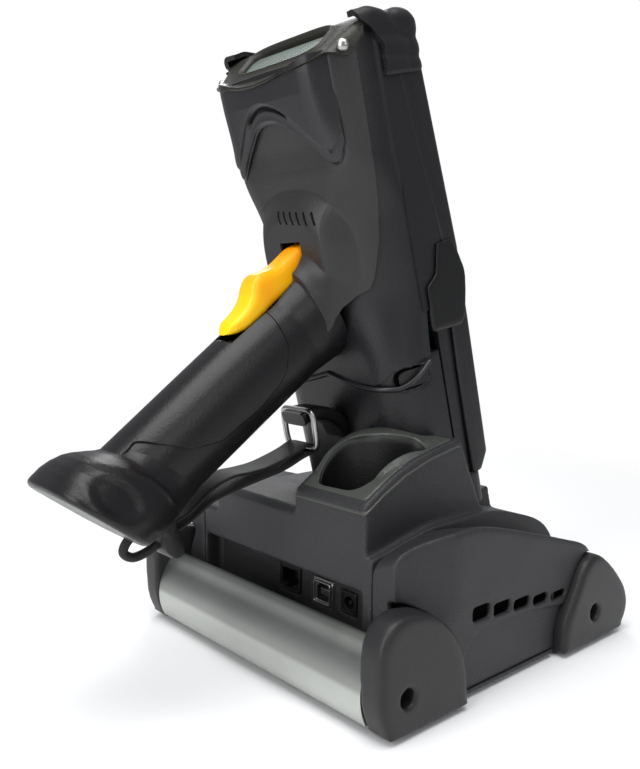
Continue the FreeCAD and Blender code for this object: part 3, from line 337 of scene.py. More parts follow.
# Name: base colour, roughness, and what differs from a plain plastic.
LOOKS = {
    "charcoal_plastic": ((0.0110, 0.0105, 0.0120), 0.38, {"grain": 0.6, "ripple": 0.05}),
    "shield_plastic": ((0.0240, 0.0235, 0.0240), 0.40, {"grain": 0.6, "ripple": 0.06}),
    "collar_plastic": ((0.0150, 0.0135, 0.0155), 0.31, {"grain": 0.35, "ripple": 0.03, "coat": 0.1}),
    "bezel_rubber": ((0.0215, 0.0210, 0.0165), 0.44, {"grain": 0.7, "ripple": 0.08, "tone": 0.3}),
    "window_glass": ((0.13, 0.165, 0.145), 0.12, GLASSY),
    "display_glass": ((0.012, 0.014, 0.016), 0.08, GLASSY),
    # The same black rubber as dark_rubber, drawn darker: painted shade on the mid bumper and tail boot.
    "shaded_black_rubber": ((0.0036, 0.0035, 0.0038), 0.42, {"grain": 0.6, "ripple": 0.08}),
    "cap_plastic": ((0.0165, 0.0160, 0.0172), 0.42, {"grain": 0.6, "size": 1500.0}),
    "dark_rubber": ((0.0085, 0.0082, 0.0092), 0.46, {"grain": 0.8, "ripple": 0.08, "tone": 0.3}),
    "key_rubber": ((0.045, 0.046, 0.050), 0.55, {"grain": 0.7, "ripple": 0.05, "tone": 0.2}),
    "orange_plastic": ((0.95, 0.42, 0.015), 0.36, {"grain": 0.3, "specular": 0.4}),
    "grip_plastic": ((0.0072, 0.0066, 0.0074), 0.34, {"grain": 0.5, "ripple": 0.04}),
    "cradle_plastic": ((0.0235, 0.0232, 0.0250), 0.44, {"grain": 1.6, "size": 1500.0, "ripple": 0.05}),
    # A lighter, slightly green copy of the cradle plastic: painted highlight on the housing's top band and
    # chamfer.
    "lit_rim_plastic": ((0.052, 0.056, 0.050), 0.36, {"grain": 0.6, "size": 1500.0}),
    # Near black, darker than any other plastic: painted shade inside the spare battery's slot.
    "liner_plastic": ((0.0035, 0.0035, 0.0040), 0.5, {}),
    "bar_aluminium": ((0.50, 0.515, 0.49), 0.38, {"grain": 0.5, "size": 2600.0, "metallic": 1.0}),
    "steel": ((0.42, 0.41, 0.40), 0.30, METAL),
    "gold_contact": ((0.85, 0.62, 0.28), 0.30, METAL),
    "board_green": ((0.02, 0.10, 0.045), 0.45, {}),
    "webbing": ((0.010, 0.009, 0.010), 0.55, {"grain": 1.0, "size": 1400.0, "sheen": 0.1}),
    "lens_clear": ((0.30, 0.42, 0.30), 0.15, GLASSY),
    "black_plastic": ((0.0085, 0.0085, 0.0090), 0.45, {}),
}
MATS = {name: plastic(name, base, rough, **more) for name, (base, rough, more) in LOOKS.items()}
# The bar's bands are painted reflection and painted shade, not a brushed finish.
paint_shade_by_height(MATS["bar_aluminium"], BAR_PAINTED_SHADE_BANDS)
lengthwise(MATS["orange_plastic"], TRIGGER_COLOURS)


# ---------------------------------------------------------------- mesh helpers

MERGE, MERGE_COPY, DEGENERATE = 1e-6, 2e-6, 1e-7


def add_object(name, verts, faces):
    mesh = bpy.data.meshes.new(name)
    mesh.from_pydata(verts, [], faces)
    mesh.validate()
    obj = bpy.data.objects.new(name, mesh)
    bpy.context.scene.collection.objects.link(obj)
    return obj


def grid_faces(rows, columns, close_rows=False, close_columns=False):
    index = np.arange(rows * columns).reshape(rows, columns)
    if close_rows:
        index = np.vstack([index, index[:1]])
    if close_columns:
        index = np.hstack([index, index[:, :1]])
    corners = [index[:-1, :-1], index[:-1, 1:], index[1:, 1:], index[1:, :-1]]
    return np.stack([c.ravel() for c in corners], 1)


def grid_object(name, points, close_rows=False, close_columns=False):
    """Mesh of a grid of points in metres, with v of its UV map along the rows' order."""
    rows, columns = points.shape[:2]
    obj = add_object(name, points.reshape(-1, 3), grid_faces(rows, columns, close_rows, close_columns))
    layer = obj.data.uv_layers.new(name="UVMap")
    u, v = np.meshgrid(np.linspace(0, 1, columns), np.linspace(0, 1, rows))
    uv = np.stack([u.ravel(), v.ravel()], 1)
    loops = np.zeros(len(obj.data.loops), np.int32)
    obj.data.loops.foreach_get("vertex_index", loops)
    layer.data.foreach_set("uv", uv[loops].astype(np.float32).ravel())
    return obj


def tidy(obj, inside=None):
    """Merges doubles and turns the faces outwards: away from a point inside, if one is given for a sheet."""
    work = bmesh.new()
    work.from_mesh(obj.data)
    bmesh.ops.remove_doubles(work, verts=work.verts, dist=MERGE)
    bmesh.ops.dissolve_degenerate(work, edges=work.edges, dist=DEGENERATE)
    if inside is None:
        bmesh.ops.recalc_face_normals(work, faces=work.faces)
    elif sum((f.calc_center_median() - Vector(inside)).dot(f.normal) * f.calc_area() for f in work.faces) < 0:
        bmesh.ops.reverse_faces(work, faces=work.faces)
    work.to_mesh(obj.data)
    work.free()


def sheet(name, local, inside=(0, 20.0, 150.0), close_columns=False):
    """Open grid in the terminal's own frame, facing away from the point inside."""
    obj = grid_object(name, to_world(local), close_columns=close_columns)
    tidy(obj, to_world(inside))
    return obj


def thicken(obj, thickness, even=True):
    """Wall of this thickness, inwards from the surface."""
    mod = obj.modifiers.new("wall", "SOLIDIFY")
    mod.thickness = thickness * MM
    mod.offset = -1.0
    mod.use_even_offset = even


def soften(obj, width, segments=3, angle=32):
    """Rounds the edges sharper than an angle."""
    mod = obj.modifiers.new("edge", "BEVEL")
    mod.width = width * MM
    mod.segments = segments
    mod.limit_method = "ANGLE"
    mod.angle_limit = math.radians(angle)
    mod.harden_normals = True
    mod.use_clamp_overlap = True
    mod.miter_outer = "MITER_ARC"


def settle(obj):
    """The mesh as its modifiers leave it."""
    graph = bpy.context.evaluated_depsgraph_get()
    mesh = bpy.data.meshes.new_from_object(obj.evaluated_get(graph))
    obj.modifiers.clear()
    old = obj.data
    obj.data = mesh
    mesh.name = obj.name
    bpy.data.meshes.remove(old)


def set_look(obj, look):
    obj.data.materials.clear()
    obj.data.materials.append(MATS[look])


def make_piece(obj, body, slot, nodes=(), crease=38, look=None):
    """Smooth shading up to the angle crease, then the piece's body, the nodes it stands for, its slot and look."""
    obj.data.polygons.foreach_set("use_smooth", np.ones(len(obj.data.polygons), bool))
    if crease:
        obj.data.set_sharp_from_angle(angle=math.radians(crease))
    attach(obj, body)
    if nodes:
        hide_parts(*nodes)
    set_look(obj, slot)
    if look:
        set_look(obj, look)


def merged_copy(node, flat=None):
    """A CAD node's mesh copied with its doubles merged; faces within the angle flat become one."""
    obj = bpy.data.objects.new(node + "_look", NODES[node].data.copy())
    bpy.context.scene.collection.objects.link(obj)
    work = bmesh.new()
    work.from_mesh(obj.data)
    bmesh.ops.remove_doubles(work, verts=work.verts, dist=MERGE_COPY)
    if flat:
        bmesh.ops.dissolve_limit(work, angle_limit=math.radians(flat), verts=work.verts, edges=work.edges)
    work.to_mesh(obj.data)
    work.free()
    return obj


# ---------------------------------------------------------------- CAD nodes as they are, or with rounded edges

SLOTS = {part["node"]: part["material_slot"] for part in frame["record"]["subparts"]}

# Node, body, slot, width of the rounding.
ROUNDED = [
    ("cradle_base", "cradle", "cradle_plastic", 0.6),
    ("rear_bar", "cradle", "bar_aluminium", 0.3),
    ("front_bar", "cradle", "bar_aluminium", 0.3),
    ("data_socket", "cradle", "black_plastic", 0.2),
    ("usb_socket", "cradle", "steel", 0.25),
    ("power_socket", "cradle", "black_plastic", 0.2),
    ("rubber_feet", "cradle", "dark_rubber", 0.5),
    ("front_housing", "terminal", "charcoal_plastic", 0.5),
    ("keypad_frame", "terminal", "charcoal_plastic", 0.3),
]
FLAT_WITHIN, ROUND_OVER = 0.6, 32


def paint_nodes():
    for name, slot in SLOTS.items():
        if name in NODES:
            set_look(NODES[name], slot)


def round_cad_nodes():
    for node, body, slot, width in ROUNDED:
        obj = merged_copy(node, FLAT_WITHIN)
        soften(obj, width, 3, ROUND_OVER)
        make_piece(obj, body, slot, [node], ROUND_OVER)


# ---------------------------------------------------------------- terminal casing

HEAD_FULL = (25.7, 30.0, 5.9)
HEAD_SLIM = (20.0, 26.0, 4.2)
# Distance round half a section from the middle of the back to the middle of the front:
# flat back, shoulder, side, front corner, front.
ROUND = (0.0, 25.7, 56.9, 77.9, 92.0, 128.7)
HALF, BACK, FRONT, CORNER = 45.7, 50.0, 0.0, 9.0


def outline(a, grow, flat, shoulder, bulge):
    """Section point (x, r) at signed distance a round the casing; the shoulder is an arc whose rise over its
    chord c is bulge: R = (c^2/4 + bulge^2) / (2 bulge)."""
    side = np.where(a < 0, -1.0, 1.0)
    s = np.abs(a)
    half, back, front = HALF + grow, BACK + grow, FRONT - grow
    corner = np.maximum(CORNER + grow, 0.6)
    share = [np.clip((s - ROUND[i]) / (ROUND[i + 1] - ROUND[i]), 0, 1) for i in range(5)]
    run_x, run_r = half - flat, shoulder - back
    chord = np.hypot(run_x, run_r)
    run_x, run_r = run_x / chord, run_r / chord
    out_x, out_r = -run_r, run_x
    radius = (chord ** 2 / 4 + bulge ** 2) / (2 * bulge)
    mid_x, mid_r = (half + flat) / 2, (back + shoulder) / 2
    centre_x, centre_r = mid_x + out_x * (bulge - radius), mid_r + out_r * (bulge - radius)
    turn = np.arcsin(np.clip(chord / 2 / radius, 0, 1)) * (2 * share[1] - 1)
    arc_x = centre_x + radius * (np.cos(turn) * out_x + np.sin(turn) * run_x)
    arc_r = centre_r + radius * (np.cos(turn) * out_r + np.sin(turn) * run_r)
    quarter = share[3] * math.pi / 2
    places = [s < end for end in ROUND[1:5]]
    x = np.select(places, [flat * share[0], arc_x, half + 0 * s, half - corner + corner * np.cos(quarter)],
                  (half - corner) * (1 - share[4]))
    r = np.select(places, [back + 0 * s, arc_r, shoulder + (front + corner - shoulder) * share[2],
                           front + corner - corner * np.sin(quarter)], front + 0 * s)
    return x * side, r


def casing(a, l, grow=0.0):
    """Casing surface: full section at head and battery, slim at the waist."""
    a, l, grow = np.broadcast_arrays(np.asarray(a, float), np.asarray(l, float), np.asarray(grow, float))
    slim = smooth(l, 82, 118) * (1 - smooth(l, 148, 178))
    x0, r0 = outline(a, grow, *HEAD_FULL)
    x1, r1 = outline(a, grow, *HEAD_SLIM)
    return np.stack([x0 + (x1 - x0) * slim, r0 + (r1 - r0) * slim, l], -1)


def eased(values, reach):
    """Running mean along the first axis with triangular weights."""
    values = np.asarray(values, float)
    kernel = np.r_[np.arange(1, reach + 1), np.arange(reach - 1, 0, -1)]
    kernel = kernel / kernel.sum()
    flat = values.reshape(len(values), -1)
    padded = np.pad(flat, ((reach - 1, reach - 1), (0, 0)), mode="edge")
    out = np.stack([np.convolve(padded[:, i], kernel, mode="valid") for i in range(flat.shape[1])], 1)
    return out.reshape(values.shape)


BEZEL_LOW = ([0, 10, 18, 25, 29, 32, 37, 40, 43.5, 46, 49, 52],
             [213.2, 213.8, 215.4, 217.4, 218.4, 219.0, 219.2, 218.2, 216.6, 217.2, 220, 223.5])
CROWN = ([164, 176, 188, 199, 206, 214, 222, 230], [0, 0.7, 2.6, 4.6, 5.8, 6.0, 5.2, 4.2])
CROWN_HALF = 39.5
# Pillow round the grip's root: its middle, half sizes, share of its half width that slopes, and height.
PILLOW_L, PILLOW_X, PILLOW_HALF, PILLOW_SLOPE, PILLOW_RISE = 136.0, 31.0, 31.5, 0.42, 6.6
# Section of the grip where it meets the casing, and the fillet's radius there.
ROOT_L, ROOT_X, ROOT_HALF, ROOT_MEAN, FILLET = 109.5, 18.6, 23.5, 19.5, 15.0


def bezel_low(a):
    """Wavy low edge of the window surround at distance a round the back."""
    return eased(np.interp(np.abs(a), *BEZEL_LOW), 5)


def crown(x, l):
    """Extra depth of the rounded brow at the head's back, in mm."""
    across = np.cos(np.clip(np.abs(x) / CROWN_HALF, 0, 1) * math.pi / 2) ** 0.95
    return across * np.interp(l, *CROWN)


def hump(x, l):
    """Pillow round the grip's root: (|x|/31)^2.4 + (|l-136|/31.5)^2.4 = 1 is its edge. Below it a fillet of
    radius F runs out along the grip: height F - sqrt(F^2 - (F - d)^2) at distance d from the grip's skin."""
    edge = ((np.abs(x) / PILLOW_X) ** 2.4 + (np.abs(l - PILLOW_L) / PILLOW_HALF) ** 2.4) ** (1 / 2.4)
    t = np.clip((1 - edge) / PILLOW_SLOPE, 0, 1)
    pillow = PILLOW_RISE * (0.62 * np.sin(t * math.pi / 2) + 0.38 * t * t * (3 - 2 * t))
    e = ((np.abs(x) / ROOT_X) ** 2.3 + (np.abs(l - ROOT_L) / ROOT_HALF) ** 2.3) ** (1 / 2.3)
    d = np.clip((e - 1) * ROOT_MEAN, 0.6, FILLET)
    fillet = FILLET - np.sqrt(FILLET ** 2 - (FILLET - d) ** 2)
    return pillow + np.maximum(fillet - 0.45 * pillow, 0)


def back_surface(a, l, grow=0.0, raised=False):
    points = casing(a, l, grow)
    points[..., 1] += crown(points[..., 0], points[..., 2])
    if raised:
        points[..., 1] += hump(points[..., 0], points[..., 2])
    return points


# The sloping window face: its angle, and a point on it.
SLOPE = math.radians(32.0)
SLOPE_R, SLOPE_L = 40.0, 225.2


def slope_top(r):
    """Height of the sloping window face at depth r."""
    return SLOPE_L + (SLOPE_R - r) * math.tan(SLOPE)


def slope_point(x, w, k):
    """Point on the sloping window face: w runs down it to the rear, k stands off it."""
    c, s = math.cos(SLOPE), math.sin(SLOPE)
    return np.stack([x + 0 * w, SLOPE_R + w * c + k * s, SLOPE_L - w * s + k * c], -1)


def spans(half, count):
    return np.linspace(-half, half, count)


def prism(ring, axis, low, high):
    """Straight solid to cut with: a closed outline drawn out along one axis of the terminal's frame."""
    ring = np.asarray(ring, float)
    n = len(ring)
    verts = np.concatenate([np.insert(ring, axis, level, axis=1) for level in (low, high)])
    faces = [tuple(range(n)), tuple(range(2 * n - 1, n - 1, -1))]
    faces += [(i, (i + 1) % n, n + (i + 1) % n, n + i) for i in range(n)]
    obj = add_object("cutter", to_world(verts), faces)
    tidy(obj)
    return obj


def capsule(centre, half_width, half_length, lean, deep):
    """Slot cutter with round ends, in the x-l plane at the casing's back; lean turns it in the plane."""
    t = full_turn(24)
    ends = np.where(np.sin(t) >= 0, 1.0, -1.0) * (half_length - half_width)
    x, l = half_width * np.cos(t), half_width * np.sin(t) + ends
    c, s = math.cos(lean), math.sin(lean)
    return prism(np.stack([centre[0] + x * c + l * s, centre[1] - x * s + l * c], 1), 1, *deep)


# Side view (r, l) of the room that the trigger moves in.
TRIGGER_ROOM = [(44.5, 131.0), (56.0, 122.0), (70.0, 119.0), (86.0, 113.5), (88.0, 103.5), (104.5, 102.5),
                (106.0, 118.2), (96.0, 126.0), (90.0, 134.0), (88.0, 140.0), (60.0, 145.0), (44.5, 145.0)]
ROOM_HALF, ROOM_HALF_REAR = 7.1, 7.6


def cut_wall(obj, wall, room_half, slots=()):
    """Gives a skin its wall, then cuts the trigger's room and the slots out of it."""
    thicken(obj, wall)
    settle(obj)
    tools = [prism(TRIGGER_ROOM, 0, -room_half, room_half), *slots]
    for i, tool in enumerate(tools):
        mod = obj.modifiers.new("cut%d" % i, "BOOLEAN")
        mod.operation = "DIFFERENCE"
        mod.solver = "MANIFOLD"
        mod.object = tool
    settle(obj)
    for tool in tools:
        bpy.data.objects.remove(tool)


REAR_LOW = ([0, 10, 20, 30, 35, 39, 50, 61], [80.8, 78.2, 75.8, 75.2, 77.4, 81, 83, 83.6])


def rear_housing():
    a = spans(61.0, 141)
    low = np.interp(np.abs(a), *REAR_LOW)
    _, r = outline(a, -0.8, *HEAD_FULL)
    high = np.minimum(slope_top(r) - 1.2, 231.0)
    l = low + (high - low) * np.linspace(0, 1, 150)[:, None]
    grow = -0.9 * (1 - smooth(np.abs(a), 57.0, 60.5))
    obj = sheet("rear_housing_look", back_surface(a, l, grow))
    cut_wall(obj, 2.0, ROOM_HALF_REAR)
    soften(obj, 0.5, 2)
    make_piece(obj, "terminal", "charcoal_plastic", ["rear_housing"])


# Low edge of the shield over half its width, measured along the surface, and its half width by height.
SHIELD_LOW = ([0, 3, 7, 13.7, 20, 24.5, 28.4, 33, 37.7],
              [96.5, 96.8, 97.6, 98.6, 101.2, 107.0, 113.6, 117.8, 119.8])
SHIELD_HALF = ([99, 112, 119.6, 125, 140, 157, 170, 194, 216],
               [37.7, 37.7, 38.2, 40.9, 44.7, 46.9, 48, 48.5, 48.7])
# Speaker slots: the first one's (x, l), the step to the next, half width, half length, lean, depths cut.
SLOT_X, SLOT_L, SLOT_STEP_X, SLOT_STEP_L, SLOT_COUNT = 4.6, 156.6, 4.3, 0.45, 6
SLOT_SHAPE = (0.6, 3.3, math.radians(23), (44, 70))


def shield_cover():
    """Rear skin with the hump and slots; its upper middle runs under the collar."""
    u = np.linspace(-1, 1, 201)
    low = np.interp(np.abs(u) * SHIELD_LOW[0][-1], *SHIELD_LOW)
    l = low + (bezel_low(u * SHIELD_HALF[1][-1]) + 1.0 - low) * np.linspace(0, 1, 190)[:, None]
    edge = np.interp(l, *SHIELD_HALF)
    points = back_surface(u * edge, l, raised=True)
    points[..., 1] += 0.7 - 1.3 * smooth(l, 172, 186) * (1 - smooth(np.abs(u) * edge, 35.0, 38.0))
    obj = sheet("shield_cover_look", points)
    cut_wall(obj, 1.5, ROOM_HALF, [capsule((SLOT_X - SLOT_STEP_X * i, SLOT_L - SLOT_STEP_L * i), *SLOT_SHAPE)
                                   for i in range(SLOT_COUNT)])
    soften(obj, 0.35, 2)
    make_piece(obj, "terminal", "shield_plastic", ["shield_cover"])


COLLAR_LOW = ([0, 3, 6, 10, 14, 20.7, 24.6, 28.5, 30.5, 32, 33.5, 35, 36.4, 37.6],
              [197.2, 197, 196.4, 194.4, 191.2, 185.6, 181.6, 177.3, 175.3, 174.4, 174.6, 176.0, 179, 184])
COLLAR_BROW = ([0, 4, 8, 11.6, 15.7, 20.2, 25, 28.5, 31, 33, 37.6],
               [205.8, 205.2, 203.6, 201.2, 197.6, 192.9, 187.6, 183.4, 180.4, 180.0, 188])
COLLAR_HALF = 37.6


def head_collar():
    """Band over the brow, with a step along the brow line and a slit under the middle of it."""
    a = spans(COLLAR_HALF, 241)
    low = eased(np.interp(np.abs(a), *COLLAR_LOW), 7)
    brow = eased(np.interp(np.abs(a), *COLLAR_BROW), 12)
    t = np.linspace(0, 1, 170)[:, None]
    l = low + (bezel_low(a) + 1.2 - low) * (0.5 * t + 0.5 * t * t)
    above = l - brow
    fade = 1 - (1 - smooth(COLLAR_HALF - np.abs(a), 0, 8)) * smooth(l, 180, 208)
    rise = 1.3 * smooth(l - low, 0, 1.8) + 0.9
    band = rise - 0.45 * bell(above, -4.5, 3.2) + 1.2 * smooth(above, -1.1, 1.1)
    slit = 1.9 * bell(above, -1.7, 0.7) * (1 - smooth(np.abs(a), 10.5, 14.0))
    grow = (band - slit) * fade + 0.35
    obj = sheet("head_collar_look", back_surface(a, l) + (casing(a, l, grow) - casing(a, l)))
    thicken(obj, 3.0)
    soften(obj, 0.7, 3, 50)
    make_piece(obj, "terminal", "collar_plastic", ["head_collar"], 60)


def unit(vectors):
    return vectors / np.linalg.norm(vectors, axis=-1, keepdims=True)


def along(points, count):
    """count points spaced evenly along a polyline."""
    points = np.asarray(points, float)
    steps = np.r_[0, np.cumsum(np.linalg.norm(np.diff(points, axis=0), axis=1))]
    want = np.linspace(0, steps[-1], count)
    return np.stack([np.interp(want, steps, points[:, i]) for i in range(points.shape[1])], 1)


def curve(points, count):
    """Smooth Catmull-Rom curve through the points, sampled evenly."""
    p = np.asarray(points, float)
    p = np.vstack([2 * p[0] - p[1], p, 2 * p[-1] - p[-2]])
    t = np.linspace(0, 1, 24, endpoint=False)[:, None]
    out = []
    for a, b, c, d in zip(p, p[1:], p[2:], p[3:]):
        square, cube = 2 * a - 5 * b + 4 * c - d, 3 * b - a - 3 * c + d
        out.append(0.5 * (2 * b + (c - a) * t + square * t ** 2 + cube * t ** 3))
    return along(np.vstack(out + [p[-2:-1]]), count)


def solid(name, local):
    """Closed loft in the terminal's own frame."""
    obj = grid_object(name, to_world(local), close_columns=True)
    tidy(obj)
    return obj


def capped(points):
    """Closes both ends of a loft at their middles."""
    return np.concatenate([points[:1] * 0 + points[0].mean(0), points, points[-1:] * 0 + points[-1].mean(0)])


# Rings round the window's opening: share of its half width and half height, and distance off the face.
WINDOW_RINGS = [(0.0, 0.0, -6.6), (0.6, 0.6, -6.6), (0.99, 0.97, -6.4), (1.0, 1.0, -5.2), (1.0, 1.0, -1.0),
                (1.012, 1.03, -0.2), (1.03, 1.08, 0.35), (1.06, 1.15, 0.95), (1.085, 1.20, 1.0), (1.11, 1.25, 0.5)]
WINDOW_X, WINDOW_W, WINDOW_SHIFT, WINDOW_POWER = 26.6, 8.6, 1.7, 4.0


def window_bezel():
    """Ring loft: deep in the opening, over a crest line round it, across the sloping face and down the back."""
    a = np.linspace(52, -52, 190)
    xs, rs = outline(a, 1.6, *HEAD_FULL)
    rs = rs + 0.75 * crown(xs, 222.0)
    ls = slope_top(rs) + 0.6
    left = along([(xs[-1], rs[-1], ls[-1]), (-45.0, 31.0, 230.9), (-44.2, 28.4, 231.6)], 12)[1:-1]
    right = left[::-1] * np.array([-1, 1, 1])
    front_x = spans(44.2, 62)[1:-1]
    front = np.stack([front_x, 27.2 + 0 * front_x, 231.9 + 0 * front_x], 1)
    ahead = np.vstack([left, front, right])
    rim = np.vstack([np.stack([xs, rs, ls], 1), ahead])
    low = np.minimum(bezel_low(a), ls - 1.2)
    lip = 3.7 * (1 - smooth(np.abs(a), 37.5, 46.0)) + 1.3
    foot = np.vstack([back_surface(a, low, lip), ahead + np.array([0, -0.6, -2.0])])
    inner = np.vstack([back_surface(a, low + 0.5, -2.0), ahead + np.array([0, 3.0, -3.0])])
    theta = np.arctan2(rim[:, 1] - SLOPE_R, rim[:, 0] / 2.0)
    cos, sin = np.cos(theta), np.sin(theta)
    scale = (np.abs(cos) ** WINDOW_POWER + np.abs(sin) ** WINDOW_POWER) ** (-1 / WINDOW_POWER)
    x, w = WINDOW_X * scale * cos, WINDOW_W * scale * sin
    centre = slope_point(0.0, 0.0, 0.0)
    rings = [slope_point(x * part_x, w * part_w - WINDOW_SHIFT, off) for part_x, part_w, off in WINDOW_RINGS]
    start = rings[-1]
    for share in (0.35, 0.7):
        rings.append(start + (rim + (centre - rim) * 0.035 - start) * share + np.array([0, 0, -0.25]))
    begin = rings[-1]
    for t in (0.2, 0.4, 0.55, 0.7, 0.85, 1.0):
        rings.append((1 - t) ** 2 * begin + 2 * t * (1 - t) * rim + t * t * foot)
    for share, sink in ((0.10, 0.45), (0.30, 0.5), (1.0, 0)):
        rings.append(foot + (inner - foot) * share - np.array([0, 0, sink]))
    obj = sheet("window_bezel_look", np.stack(rings), (0, 30.0, 205.0), True)
    make_piece(obj, "terminal", "bezel_rubber", ["window_bezel"], 50)


# Cap of a head screw: radius and height above its place.
SCREW_CAP = np.array([(0.0, -2.0), (2.6, -2.0), (2.6, 0.2), (2.45, 0.75), (2.1, 1.2), (1.6, 1.55), (0.9, 1.8),
                      (0.0, 1.88)])


def head_screws():
    """Domed screws at the window surround's lower corners, each a cap turned about its place's outward line."""
    width, rise = SCREW_CAP.T[:, :, None, None]
    turn = full_turn(40)[None, :, None]
    for sign, side, grow in ((-1, "left", 3.3), (1, "right", 1.9)):
        centre = casing([43.2 * sign], [220.4], grow)[0] + np.array([0, 0.4, 0])
        out = unit(np.array([0.62 * sign, 0.74, 0.26]))
        first = unit(np.cross(out, [0, 0, 1.0]))
        second = np.cross(out, first)
        obj = solid("head_screw_" + side,
                    centre + width * (np.cos(turn) * first + np.sin(turn) * second) + rise * out)
        make_piece(obj, "terminal", "steel", ["terminal_screws"], 60)


# Distance round the casing of the boot's ends, by height, and of the middle of the front.
BOOT_END = ([206, 218, 221, 225, 228.5, 233], [60.3, 61.0, 59.5, 55.8, 51.5, 49.5])
FRONT_MIDDLE = ROUND[-1]


def top_boot():
    """Rubber hood: a strip round the top whose wall swells between two slanting folds, rolled over the edge.
    The roll's radius grows from the knob at the rear corners towards the front."""
    s = np.linspace(-1, 1, 301)
    aside = np.abs(s)
    v = np.linspace(0, 1, 96)[:, None]
    wall, roll, flat = (np.clip((v - begin) / run, 0, 1) for begin, run in ((0, 0.50), (0.50, 0.32), (0.82, 0.18)))
    front = 1 - smooth(aside, 0.30, 0.78)
    dip = bell(aside, 0.76, 0.05)
    radius = 4.5 + 9.5 * front
    top = 233.2 + 0.9 * bell(aside, 0.90, 0.055) - 1.3 * dip * (1 - front)
    low = 206.2 + 5.8 * (1 - smooth(aside, 0.20, 0.34))
    turn = roll * math.pi / 2
    l = low + (top - radius - low) * wall + radius * np.sin(turn)
    lean = 7.0 * (aside - 0.45)
    folds = 0.75 * bell(l - lean, 219.0, 2.4) + 0.6 * bell(l - lean, 211.0, 1.8)
    grow = 2.7 - smooth(aside, 0.36, 0.46) * folds * smooth(aside, 0.40, 0.60)
    grow -= 1.0 * bell(l, low, 1.0) * (1 - roll)
    grow = grow - radius * (1 - np.cos(turn)) - 5.0 * flat - 0.7 * dip * (1 - front)
    a = (FRONT_MIDDLE - (FRONT_MIDDLE - np.interp(l, *BOOT_END)) * aside) * np.where(s < 0, -1, 1)
    obj = sheet("top_boot_look", casing(a, l, grow), (0, 20.0, 200.0))
    thicken(obj, 2.2)
    soften(obj, 0.8, 3, 50)
    make_piece(obj, "terminal", "dark_rubber", ["top_boot"], 60)


# ---------------------------------------------------------------- grip, foot, trigger

# Middle line of the grip in (r, l), and the direction across it.
GRIP_ROOT = np.array([48.9, 112.0])
GRIP_RUN = np.array([135.1, -51.0])
GRIP_UP = np.array([51.0, 135.1]) / 144.4
# Half width and half depth of the grip by share of its length, and the power of its sections.
GRIP_SHARE, GRIP_HALF, GRIP_DEEP = [0, 0.16, 0.5, 1], [21.0, 17.8, 17.0, 16.6], [24.5, 21.2, 20.5, 19.0]
GRIP_POWER = 2 / 2.25
GRIP_MIDDLE = (0, 116.0, 87.0)
# Middle of the foot's sole, and the sole's own directions.
SOLE_OUT = np.array([0.7848, -0.6198])
SOLE_ALONG = np.array([-0.6198, -0.7848])
FOOT = np.array([185.0, 66.5])
NECK, NECK_DEEP = -24.0, 19.2
# Side view (r, l) of the seam between the shell and the soft front skin.
SEAM = ([84.0, 86.5, 92.0, 107.0, 132.0, 146.0, 160.0, 176.0], [121.0, 97.0, 90.5, 83.0, 75.5, 77.0, 86.0, 99.0])


def grip_line(s, up):
    """(r, l) at share s of the grip's length, up from its middle line."""
    return [GRIP_ROOT[i] + GRIP_RUN[i] * s + GRIP_UP[i] * up for i in (0, 1)]


def grip_point(theta, s, grow):
    """Grip skin at angle theta from its near side and share s of its length; sections are superellipses
    |cos|^(2/2.25), |sin|^(2/2.25)."""
    x = (np.interp(s, GRIP_SHARE, GRIP_HALF) + grow) * signed_power(np.cos(theta), GRIP_POWER)
    up = (np.interp(s, GRIP_SHARE, GRIP_DEEP) + grow) * signed_power(np.sin(theta), GRIP_POWER)
    return np.stack([x, *grip_line(s, up)], -1)


def grip_end(theta, beyond):
    """Share s at which the skin meets the foot's neck plane."""
    up = NECK_DEEP * signed_power(np.sin(theta), GRIP_POWER)
    base = (GRIP_ROOT - FOOT) @ SOLE_OUT + up * (GRIP_UP @ SOLE_OUT)
    return (NECK + beyond - base) / (GRIP_RUN @ SOLE_OUT)


def handle_shell():
    theta = full_turn(180)
    s = 0.03 + (grip_end(theta, -1.0) - 0.03) * np.linspace(0, 1, 110)[:, None]
    obj = sheet("handle_shell_look", grip_point(theta, s, -0.3), GRIP_MIDDLE, True)
    cut_wall(obj, 2.4, ROOM_HALF)
    make_piece(obj, "terminal", "grip_plastic", ["handle_shell"])


def handle_grip():
    """Soft front skin; at each station it ends where its side view meets the seam."""
    share = np.linspace(0, 1, 130)[:, None]
    up = np.linspace(-1, 1, 401)
    r, l = grip_line(0.255 + 0.62 * share, 20.0 * up)
    inside = l > np.interp(r, *SEAM)
    limit = eased(np.where(inside.any(1), up[np.argmax(inside, axis=1)], 0.9), 5)
    low = np.arcsin(np.clip(signed_power(limit, 1 / GRIP_POWER), -0.98, 0.9))
    theta = math.pi / 2 + spans(1, 131) * (math.pi / 2 - low[:, None])
    beside = smooth(np.abs(17.8 * signed_power(np.cos(theta), GRIP_POWER)), 6.9, 7.9)
    first = 0.366 + (0.255 - 0.05 * np.sin(theta) - 0.366) * beside
    s = first + (grip_end(theta, 1.4) - first) * share
    obj = sheet("handle_grip_look", grip_point(theta, s, 0.6), GRIP_MIDDLE)
    thicken(obj, 1.3, even=False)
    make_piece(obj, "terminal", "grip_plastic", ["handle_grip"])


# Foot by distance from the sole: half width, and its two ends along the sole.
FOOT_K = [-31, -28, -26, -24, -22, -19, -16, -12, -8, -3, -1.6, -0.9, -0.35, -0.05, 0]
FOOT_ROWS = [
    [16.9, 17.4, 18.0, 19.0, 20.2, 21.8, 23.2, 24.8, 26.0, 26.9, 27.0, 26.7, 26.0, 24.9, 24.9],
    [-4.0, -5.4, -6.6, -8.6, -11.6, -15.6, -18.6, -21.0, -22.3, -22.9, -22.8, -22.5, -21.8, -20.7, -20.7],
    [36.4, 35.4, 34.8, 34.2, 33.6, 32.6, 31.4, 29.6, 27.4, 24.4, 23.5, 23.0, 22.2, 20.9, 20.9],
]


